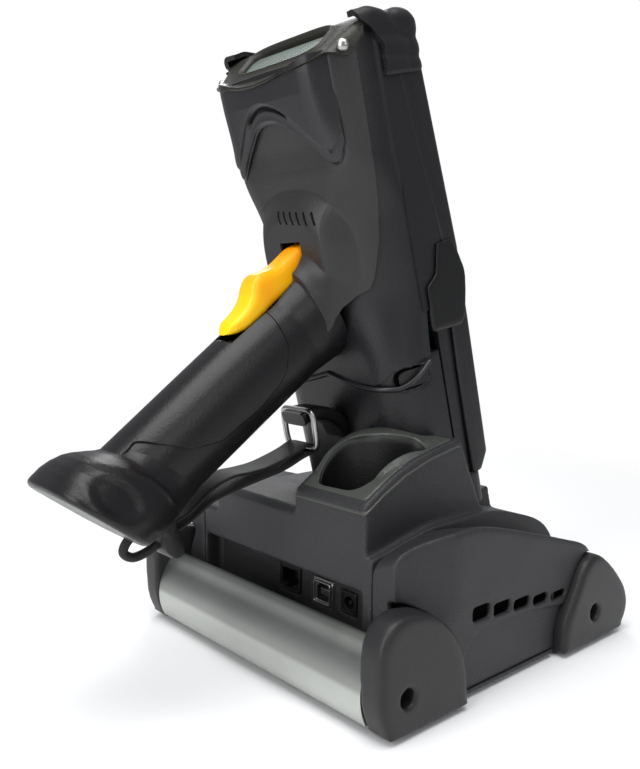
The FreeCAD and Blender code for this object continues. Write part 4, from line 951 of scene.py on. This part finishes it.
def foot_point(x, y, k):
    """From the foot's own frame (y along the sole, k out of it) to the terminal's."""
    r, l = (FOOT[i] + SOLE_ALONG[i] * y + SOLE_OUT[i] * k for i in (0, 1))
    return np.stack([x, r, l], -1)


def handle_foot():
    """Ring loft from the grip's end to the sole: one side stays with the grip's underside while the other flares
    out, with a shallow oval hollow in each side and a soft ridge where the flare starts."""
    k = np.r_[np.linspace(-31, -1.6, 74), -0.9, -0.35, -0.05, 0.0, 0.0][:, None]
    theta = full_turn(200)
    rows = eased(np.concatenate([np.interp(k, FOOT_K, row) for row in FOOT_ROWS], 1), 2)
    half_x, y_lo, y_hi = np.split(rows, 3, axis=1)
    power = 2 / np.interp(k, [-31, -20, -8, 0], [2.25, 2.35, 2.7, 2.9])
    x = half_x * signed_power(np.cos(theta), power)
    y = (y_hi + y_lo) / 2 + (y_hi - y_lo) / 2 * signed_power(np.sin(theta), power)
    x[-1] *= 0.86
    y[-1] *= 0.84
    oval = np.hypot((y + 5.0) / 13.0, (k + 10.0) / 7.6)
    dent = 2.0 * (1 - smooth(oval, 0.50, 1.05)) * (np.abs(x) > 12)
    crest = -22.5 + 0.012 * (y - 5.0) ** 2
    ridge = 0.55 * bell(k, crest, 1.2) * (np.abs(x) > 6) * (1 - smooth(y, 18, 30))
    points = foot_point(x - np.sign(x) * (dent - ridge), y, k)
    cap, end = points[:1] * 0 + points[0].mean(0), points[-1].mean(0)
    sole = [points[-1] + (end - points[-1]) * t for t in (0.35, 0.7, 1.0)]
    obj = solid("handle_foot_look", np.concatenate([cap, points, sole]))
    make_piece(obj, "terminal", "grip_plastic", ["handle_foot", "foot_plug"], 50)


TRIGGER_OUTER = [(103.6, 116.6), (101.2, 119.6), (97.0, 121.6), (92.2, 124.4), (88.6, 128.4), (86.6, 132.4),
                 (83.4, 135.8), (79.0, 137.0), (74.0, 137.1), (68.5, 138.4), (63.0, 140.6), (57.5, 142.6),
                 (50.5, 143.6)]
TRIGGER_INNER = [(104.4, 115.4), (101.0, 116.2), (96.5, 117.6), (91.5, 118.9), (85.5, 121.0), (79.0, 124.0),
                 (72.0, 126.4), (66.2, 128.0), (61.0, 130.6), (57.0, 134.6), (54.0, 138.4), (52.0, 140.6)]
# Half width and depth of the skirt by share of the trigger's length.
TRIGGER_HALF = ([0, 0.03, 0.08, 0.2, 0.38, 0.5, 0.7, 1], [2.4, 4.2, 5.6, 6.4, 6.4, 6.2, 6.4, 6.4])
TRIGGER_SKIRT = ([0, 0.05, 0.15, 0.9, 1], [0.2, 1.5, 3.4, 3.4, 1.0])


def trigger():
    """Loft along the finger piece: each section is a rounded box from its outer line to a skirt in the slot."""
    count = 150
    outer, inner = curve(TRIGGER_OUTER, count), curve(TRIGGER_INNER, count)
    t = np.linspace(0, 1, count)[:, None]
    inner = inner - unit(outer - inner) * np.interp(t, *TRIGGER_SKIRT)
    middle, half = (outer + inner) / 2, (outer - inner) / 2
    theta = full_turn(72)
    across = signed_power(np.cos(theta), 2 / 4.2)
    deep = signed_power(np.sin(theta), 2 / 3.0)
    dish = 0.9 * (1 - across ** 2) * np.clip(deep, 0, 1) * bell(t, 0.62, 0.2)
    r, l = (middle[:, i:i + 1] + half[:, i:i + 1] * (deep - 0.12 * dish) for i in (0, 1))
    obj = solid("trigger_look", capped(np.stack([np.interp(t, *TRIGGER_HALF) * across, r, l], -1)))
    make_piece(obj, "trigger", "orange_plastic", ["trigger"], 50)


# ---------------------------------------------------------------- strap

def ribbon(points, half, thick, offset, count=90):
    """Flat strap: a rounded strip of constant size along a smooth (r, l) line; x drifts with offset."""
    line = curve(points, count)
    run = unit(np.gradient(line, axis=0))
    theta = full_turn(28)
    off = thick / 2 * signed_power(np.sin(theta), 2 / 3)
    drift = np.interp(np.linspace(0, 1, count), np.linspace(0, 1, len(offset)), offset)[:, None]
    x = half * signed_power(np.cos(theta), 2 / 9) + drift
    return capped(np.stack([x, line[:, :1] - run[:, 1:] * off, line[:, 1:] + run[:, :1] * off], -1))


def tube(points, radius, count=90, beside=(1.0, 0.0, 0.0)):
    """Round cord along a smooth (x, r, l) line that never runs along beside."""
    line = curve(points, count)
    run = unit(np.gradient(line, axis=0))
    first = unit(np.cross(run, beside))
    second = np.cross(run, first)
    theta = full_turn(16)[:, None]
    return capped(line[:, None] + radius * (first[:, None] * np.cos(theta) + second[:, None] * np.sin(theta)))


def joined(name, grids):
    """One mesh from several closed lofts."""
    verts, faces, start = [], [], 0
    for g in grids:
        rows, columns = g.shape[:2]
        verts.append(to_world(g).reshape(-1, 3))
        faces.append(grid_faces(rows, columns, close_columns=True) + start)
        start += rows * columns
    obj = add_object(name, np.vstack(verts), np.vstack(faces))
    tidy(obj)
    return obj


STRAP_UPPER = [(72.6, 51.6), (76.4, 52.4), (82.0, 51.6), (90.0, 51.2), (100.0, 51.4), (110.0, 53.2), (119.0, 55.2),
               (130.0, 54.4), (142.0, 49.8), (151.0, 48.6)]
STRAP_LOWER = [(72.4, 48.0), (80.0, 48.0), (92.0, 47.2), (111.0, 48.6), (130.0, 49.2), (142.0, 46.2),
               (151.0, 44.6)]
STRAP_LOOP = [(2.0, 157.0, 47.5), (1.4, 163.0, 49.6), (2.0, 170.0, 48.0), (3.0, 173.2, 43.6), (2.4, 170.0, 39.8),
              (2.0, 163.0, 39.4), (2.0, 157.0, 41.0)]
STRAP_TAB = [(48.8, 48.4), (52.0, 56.0), (57.0, 61.0), (63.0, 64.2), (70.0, 65.6), (75.2, 65.0)]
# One half of the ring's wire; the other mirrors it about x = 2.
RING_HALF = [(2.0, 71.6, 68.4), (-5.0, 71.6, 68.5), (-7.9, 71.7, 67.6), (-8.9, 71.9, 64.8), (-9.0, 72.3, 60.0),
             (-8.9, 72.7, 54.2), (-7.9, 72.9, 51.2), (-5.0, 73.0, 50.2), (2.0, 73.0, 50.2)]
STRAP_HALF, STRAP_MIDDLE = 7.4, 2.0


def hand_strap():
    """Two layers of webbing with a cord loop at the end, the tab at the casing and the ring between them."""
    obj = joined("hand_strap_look", [ribbon(STRAP_UPPER, STRAP_HALF, 1.6, [2, 2.4, 1.8, 2]),
                                     ribbon(STRAP_LOWER, STRAP_HALF, 1.6, [2, 1.6, 2.2, 2]),
                                     tube(STRAP_LOOP, 2.0)])
    make_piece(obj, "terminal", "webbing", ["hand_strap"], 40)
    obj = joined("strap_tab_look", [ribbon(STRAP_TAB, 8.0, 6.6, [2, 2])])
    make_piece(obj, "terminal", "grip_plastic", ["strap_tab"], 40)
    other = [(2 * STRAP_MIDDLE - x, r, l) for x, r, l in RING_HALF[-2::-1]]
    obj = joined("strap_ring_look", [tube(RING_HALF + other, 1.45, 160, (0.0, 1.0, 0.0))])
    make_piece(obj, "terminal", "steel", ["strap_ring"], 60)


# Side view of the buckle, and its sections across its width: place and size as shares.
CLIP_RING = [(150.2, 50.2), (153.0, 51.4), (157.0, 51.6), (159.0, 49.8), (158.2, 46.0), (159.2, 42.0),
             (158.6, 37.4), (156.0, 33.6), (152.4, 32.8), (150.0, 35.0), (150.8, 39.0), (149.8, 43.0),
             (150.6, 47.0), (150.2, 50.2)]
CLIP_ACROSS = np.array([-1.0, -0.985, -0.9, -0.55, 0, 0.55, 0.9, 0.985, 1.0])[:, None, None]
CLIP_SIZE = np.array([0.0, 0.72, 0.93, 1.0, 1.0, 1.0, 0.93, 0.72, 0.0])[:, None, None]
CLIP_HALF = 8.0


def strap_clip():
    """Moulded buckle: a rounded block with a waist, lofted across its width."""
    loop = curve(CLIP_RING, 81)[:-1]
    centre = loop.mean(0)
    flat = centre + (loop - centre) * CLIP_SIZE
    x = STRAP_MIDDLE + CLIP_HALF * CLIP_ACROSS + 0 * flat[..., :1]
    obj = solid("strap_clip_look", np.concatenate([x, flat], -1))
    make_piece(obj, "terminal", "black_plastic", ["strap_clip"], 50)


# ---------------------------------------------------------------- moulded copies of CAD nodes

def relax(points, edges, steps, weight):
    """Each point moves by weight towards the mean of its neighbours."""
    a = np.concatenate([edges[:, 0], edges[:, 1]])
    b = np.concatenate([edges[:, 1], edges[:, 0]])
    count = np.bincount(a, minlength=len(points))[:, None]
    for _ in range(steps):
        total = [np.bincount(a, weights=points[b, k], minlength=len(points)) for k in range(3)]
        points = points + (np.stack(total, 1) / count - points) * weight
    return points


def moulded_copy(node, body, slot, look, voxel, steps, soft=None, soft_steps=0, change=None):
    """A copy of a CAD node rebuilt on an even grid, with its edges relaxed like a moulding's.
    soft(x, y, z) in mm says, from 0 to 1, where the edges are relaxed further."""
    obj = merged_copy(node)
    mod = obj.modifiers.new("even", "REMESH")
    mod.mode = "VOXEL"
    mod.voxel_size = voxel * MM
    settle(obj)
    mesh = obj.data
    points = np.zeros(len(mesh.vertices) * 3, np.float32)
    mesh.vertices.foreach_get("co", points)
    edges = np.zeros(len(mesh.edges) * 2, np.int32)
    mesh.edges.foreach_get("vertices", edges)
    points, edges = points.reshape(-1, 3).astype(float), edges.reshape(-1, 2)
    points = relax(points, edges, steps, 0.5)
    if soft:
        share = np.clip(soft(*(points.T / MM)), 0, 1)[:, None]
        points = relax(points, edges, soft_steps, 0.5 * share)
    if change:
        points = change(points / MM) * MM
    mesh.vertices.foreach_set("co", points.astype(np.float32).ravel())
    mesh.update()
    make_piece(obj, body, slot, [node], None, look)


def near(distance, reach):
    return np.clip(1 - distance / reach, 0, 1)


# Tops by y: the spare battery housing, the side covers, and the arch line on the side covers' outer faces.
BLOCK_TOP = ([-8, 1.9, 11, 16.9, 32.6, 47.6, 61.4, 72], [70, 90, 108.5, 107.4, 104.2, 99.4, 92.6, 86])
FENDER_TOP = ([-66.3, -60.0, -47.0, -26.6, -7.5, 10.3, 26.9, 42.4, 56.9, 66.0, 70.0, 72.0],
              [42.2, 50.4, 55.5, 61.7, 67.2, 72.2, 75.6, 76.0, 73.6, 71.0, 69.0, 66.5])
ARCH = ([-60, -40, -20, 0, 20, 30, 36, 40], [22, 25.0, 27.6, 29.6, 30.4, 28.5, 23.0, 10.0])
# Rear face of the cradle, sides of the housing, inner and outer faces of the side covers.
REAR_Y, BLOCK_LEFT, BLOCK_RIGHT, FENDER_IN, FENDER_OUT = 72, -58, -12, 62.3, 84


def block_edges(x, y, z):
    """Top edges of the spare battery housing, and the deck's rear edge."""
    top = np.interp(y, *BLOCK_TOP)
    rear = near(np.hypot(y - REAR_Y, z - 86), 7) * (x > -61) * (x < -9)
    side = near(np.hypot(x - BLOCK_LEFT, z - top), 7) * (y > -6)
    inner = near(np.hypot(x - BLOCK_RIGHT, z - top), 5) * (y > -6) * (z > 84)
    corner = near(np.hypot(x - BLOCK_LEFT, y - REAR_Y), 5) * 0.6 * (z > 66)
    deck = near(np.hypot(y - REAR_Y, z - 64), 4) * 0.5 * (x > BLOCK_RIGHT)
    return np.maximum.reduce([rear, side, inner, corner, deck])


def fender_edges(x, y, z):
    """Upper, rear and inner edges of the side covers."""
    top = np.interp(y, *FENDER_TOP)
    upper = near(np.hypot(np.abs(x) - FENDER_OUT, z - top), 9) * (z > 40)
    rear = near(np.hypot(np.abs(x) - FENDER_OUT, y - REAR_Y), 9) * (z > 22)
    inner = near(np.hypot(np.abs(x) - FENDER_IN, z - top + 5.8), 3) * 0.5
    return np.maximum.reduce([upper, rear, inner])


def cap_edges(x, y, z):
    """Rims of the corner caps, clear of their holes."""
    hole = np.minimum(np.hypot(y - 77.6, z - 17), np.hypot(y + 60, z - 17))
    rim = np.maximum(near(np.abs(np.abs(x) - 89), 6), 0.6 * near(np.abs(np.abs(x) - 76), 3))
    return rim * (hole > 8.5) * (z > 4)


def everywhere(*place):
    return np.ones_like(place[0])


def tuck_fender(p):
    """Draws the rear end of a side cover inwards and sets its lower panel back under an arch line."""
    x, y, z = p.T
    share = np.clip((np.abs(x) - FENDER_IN) / (FENDER_OUT - FENDER_IN), 0, 1)
    tuck = 8.0 * smooth(y, 38, 71) * smooth(z, 34, 50) * share
    under = 1 - smooth(z - np.interp(y, *ARCH), -0.9, 0.5)
    back = 1.5 * under * (np.abs(x) > 80) * smooth(y, -62, -56) * (1 - smooth(y, 40, 44))
    return np.stack([x - np.sign(x) * (tuck + back), y, z], 1)


def latch_rooms(p):
    """Deepens and widens the battery's two latch pockets, so that a pressed latch keeps clear of their walls."""
    x, y, z = p.T
    beside = smooth(y, 15.2, 16.6) * (1 - smooth(y, 33.6, 35.0))
    level = smooth(z, 129.4, 130.8) * (1 - smooth(z, 142.4, 143.8))
    inner = beside * level * smooth(np.abs(x), 35.5, 37.0)
    deeper = 1.2 * inner * (1 - smooth(np.abs(x), 39.5, 42.0))
    return np.stack([x - np.sign(x) * deeper, y + (y - 25.15) * 0.06 * inner, z + (z - 136.6) * 0.08 * inner], 1)


# Node, body, slot, look if it isn't the slot's, grid size, steps, and where and how much the edges are relaxed.
MOULDINGS = [
    ("cradle_top", "cradle", "cradle_plastic", None, 0.95, 2, block_edges, 10),
    ("fender_left", "cradle", "cradle_plastic", None, 0.9, 2, fender_edges, 34, tuck_fender),
    ("fender_right", "cradle", "cradle_plastic", None, 0.9, 2, fender_edges, 34, tuck_fender),
    ("rear_caps", "cradle", "cradle_plastic", "cap_plastic", 0.9, 3, cap_edges, 24),
    ("front_caps", "cradle", "cradle_plastic", "cap_plastic", 0.9, 3, cap_edges, 24),
    # The mid bumper and tail boot take a darker copy of their rubber as painted shade.
    ("mid_bumper", "terminal", "dark_rubber", "shaded_black_rubber", 0.6, 4, everywhere, 40),
    ("tail_boot", "terminal", "dark_rubber", "shaded_black_rubber", 0.8, 3),
    ("battery_pack", "terminal", "charcoal_plastic", None, 0.9, 2, None, 0, latch_rooms),
]


def mould_cad_nodes():
    for row in MOULDINGS:
        moulded_copy(*row)


# ---------------------------------------------------------------- details of the cradle

WELL = [(-18.5, 68.0), (-48.0, 67.0), (-54.0, 28.0), (-46.0, 27.0), (-36.0, 40.0), (-18.5, 47.0)]
WELL_ROUND, WELL_FLOOR, WELL_LEAN, WELL_SHIFT = 9.0, 57.6, math.radians(4.0), 7.0
BLOCK_FRONT = 11.5


def rounded_loop(corners, radius, count):
    """Closed polygon with its corners rounded: points on quadratic arcs between the sides, spaced evenly."""
    p = np.asarray(corners, float)
    before, after = np.roll(p, 1, axis=0) - p, np.roll(p, -1, axis=0) - p
    shorter = np.minimum(np.linalg.norm(before, axis=1), np.linalg.norm(after, axis=1))
    reach = np.minimum(radius, 0.45 * shorter)[:, None]
    start, end = p + unit(before) * reach, p + unit(after) * reach
    t = np.linspace(0, 1, 9)[:, None, None]
    arcs = (1 - t) ** 2 * start + 2 * t * (1 - t) * p + t * t * end
    loop = arcs.transpose(1, 0, 2).reshape(-1, p.shape[1])
    return along(np.vstack([loop, loop[:1]]), count + 1)[:-1]


def block_top(x, y):
    """Height of the spare battery housing: its curved top, or the dome over it."""
    flat = np.interp(y, *BLOCK_TOP)
    dome = 71.5 + np.sqrt(np.clip(40.0 ** 2 - (x + 30) ** 2 - (y - 31) ** 2, 0, None))
    inside = (x > -56) & (x < BLOCK_RIGHT) & (y > 5) & (y < 67)
    return np.where(inside, np.maximum(flat, dome), flat)


def well_ring(loop, z):
    """Section of the slanted slot at height z: it leans back by 4 degrees."""
    c, s = math.cos(WELL_LEAN), math.sin(WELL_LEAN)
    y = loop[:, 1] * c + (z + loop[:, 1] * s) / c * s - WELL_SHIFT
    return np.stack([loop[:, 0], y, z + 0 * y], 1)


def well_liner():
    """Sleeve of the spare battery's slot, up to its rim, with a floor; its near-black colour is painted shade
    inside the slot.
    """
    loop = rounded_loop(WELL, WELL_ROUND, 140)
    inner = loop + (loop.mean(0) - loop) * 0.022
    high = block_top(inner[:, 0], inner[:, 1]) - 0.35
    rings = [well_ring(inner, WELL_FLOOR + (high - WELL_FLOOR) * share) for share in np.linspace(1, 0, 16)]
    floor = rings[-1]
    rings += [floor + (floor.mean(0) - floor) * t for t in (0.04, 0.5, 1.0)]
    obj = grid_object("well_liner_look", np.stack(rings) * MM, close_columns=True)
    tidy(obj, (-0.034, 0.05, 0.5))
    thicken(obj, 0.8)
    make_piece(obj, "cradle", "liner_plastic", ["well_liner"], 50)


def radius_at(loop, centre, theta):
    """Distance from the centre to a star-shaped loop at angle theta, as a column."""
    away = loop - centre
    angle = np.arctan2(away[:, 1], away[:, 0])
    order = np.argsort(angle)
    far = np.interp(theta, angle[order], np.hypot(away[:, 0], away[:, 1])[order], period=2 * math.pi)
    return far[:, None]


def well_rim():
    """Band from the slot's edge across the housing's top, then a chamfer down its sides, in a lighter copy of the
    cradle plastic that paints a highlight on them.
    """
    centre = np.array([-35.5, 51.0])
    theta = np.linspace(-math.pi, math.pi, 360, endpoint=False)
    way = np.stack([np.cos(theta), np.sin(theta)], 1)
    slot = radius_at(rounded_loop(WELL, WELL_ROUND, 500), centre, theta)

    def edge(inset, radius):
        left, right = BLOCK_LEFT + inset, BLOCK_RIGHT - inset
        rear, front = REAR_Y - inset, BLOCK_FRONT + inset
        corners = [(left, rear), (right, rear), (right, front), (left, front)]
        return radius_at(rounded_loop(corners, radius, 900), centre, theta)

    top, side, under = edge(3.0, 2.0), edge(-0.35, 2.4), edge(0.8, 2.4)
    rings = [(slot + out, rise) for out, rise in ((-0.7, -5.0), (-0.7, -0.7), (-0.45, 0.05), (0.2, 0.45))]
    rings += [(slot + 0.2 + (top - slot - 0.2) * share, rise)
              for share, rise in ((0.35, 0.5), (0.7, 0.5), (0.97, 0.5), (1.0, 0.42))]
    rings += [(top + (side - top) * 0.5, -1.3), (side, -3.1), (side, -3.7), (under, -4.2)]
    levels = []
    for far, rise in rings:
        x, y = (centre + way * far).T
        levels.append(np.stack([x, y, block_top(x * 0.985 - 0.5, np.minimum(y, REAR_Y)) + rise], 1))
    obj = grid_object("well_rim", np.stack(levels) * MM, close_columns=True)
    tidy(obj, (-0.034, 0.045, 0.02))
    # The rim's lighter look is a painted highlight on the cradle plastic.
    make_piece(obj, "cradle", "cradle_plastic", (), 28, "lit_rim_plastic")


# Name, slot, x from and to, z from and to, y of the front face, width of the edge.
FRAMES = [
    ("usb_frame", "steel", -27.0, -15.0, 31.6, 42.4, 63.2, 0.9),
    ("data_frame", "black_plastic", -4.6, 10.6, 31.3, 44.7, 62.5, 1.1),
    ("power_frame", "black_plastic", -43.2, -33.3, 31.9, 42.1, 62.5, 1.2),
]
FRAME_BACK = 56.0


def socket_frames():
    """Rectangular frames with rounded fronts, lofted round the sockets' openings."""
    for name, slot, x0, x1, z0, z1, y, edge in FRAMES:
        corners = np.array([(x0, z0), (x1, z0), (x1, z1), (x0, z1)])
        outer = rounded_loop(corners, 1.2, 72)
        middle = corners.mean(0)
        half = np.array([(x1 - x0) / 2, (z1 - z0) / 2])
        inner = middle + (outer - middle) * (half - edge) / half
        rings = []
        for share, level in ((0.0, FRAME_BACK), (0.0, y - 0.4), (0.15, y - 0.08), (0.4, y), (0.7, y),
                             (0.9, y - 0.15), (1.0, y - 0.5), (1.0, FRAME_BACK)):
            rings.append(np.insert(outer + (inner - outer) * share, 1, level, axis=1))
        obj = grid_object(name, np.stack(rings) * MM, close_rows=True, close_columns=True)
        tidy(obj)
        make_piece(obj, "cradle", slot, (), 50)


# Height and the depth there of the front casing's long edges: their front line and their rear line.
RAIL_FRONT = ([17, 24, 92, 128, 204, 211], [0.2, 5.6, 6.3, 6.3, 0.7, 0.2])
RAIL_REAR = ([17, 60, 100, 130, 165, 211], [9.5, 9.0, 8.0, 5.5, 12.0, 18.0])
RAIL_OUT, RAIL_RADIUS = 45.95, 4.6


def front_rails():
    """Long edges of the front casing: each section runs up the side, round a corner and a little way across the
    front; the front stands further out towards the foot, so its line is a straight slope under the guard."""
    l = np.linspace(17.0, 211.0, 150)[:, None]
    front = -np.interp(l, *RAIL_FRONT)
    rear = eased(np.interp(l, *RAIL_REAR), 9)
    line = [(44.7, rear), (45.5, rear - 0.5), (RAIL_OUT, rear - 1.2), (RAIL_OUT, (rear + front) / 2 + 1)]
    line += [(RAIL_OUT - RAIL_RADIUS + RAIL_RADIUS * math.cos(q), front + RAIL_RADIUS - RAIL_RADIUS * math.sin(q))
             for q in np.linspace(0, math.pi / 2, 14)]
    line += [(40.4, front), (39.8, front + 0.3), (39.4, front + 1.0), (39.4, 1.5 + 0 * l)]
    x = np.array([p[0] for p in line]) + 0 * l
    r = np.concatenate([p[1] for p in line], 1)
    for sign, name in ((-1, "front_rail_left"), (1, "front_rail_right")):
        obj = sheet(name, np.stack([sign * x, r, l + 0 * x], -1), (30.0 * sign, 20.0, 110.0))
        thicken(obj, 0.7)
        make_piece(obj, "terminal", "charcoal_plastic", (), 50)


BELT = ([0, 10, 20, 30, 37, 41, 46, 52, 57, 60.5], [80.3, 77.6, 75.2, 74.4, 74.0, 73.4, 74.6, 77.6, 80.6, 82.2])
BELT_WIDTH = 2.6


def battery_belt():
    """Raised band where the battery's lid meets the rear casing, dipping round the latch on each side."""
    a = spans(BELT[0][-1], 261)
    t = np.linspace(0, 1, 15)[:, None]
    l = eased(np.interp(np.abs(a), *BELT), 8) - 1.0 + (t - 0.5) * BELT_WIDTH
    obj = sheet("battery_belt", casing(a, l, -0.5 + 1.2 * np.sin(t * math.pi) ** 0.7))
    thicken(obj, 0.8)
    make_piece(obj, "terminal", "collar_plastic", (), 60)


STEPS = (
    place_camera, light_scene, make_floor, paint_nodes, round_cad_nodes, mould_cad_nodes,
    rear_housing, shield_cover, head_collar, window_bezel, head_screws, top_boot,
    handle_shell, handle_grip, handle_foot, trigger, hand_strap, strap_clip,
    well_liner, well_rim, socket_frames, front_rails, battery_belt,
)
for step in STEPS:
    step()

bpy.context.scene.view_settings.view_transform = "Standard"
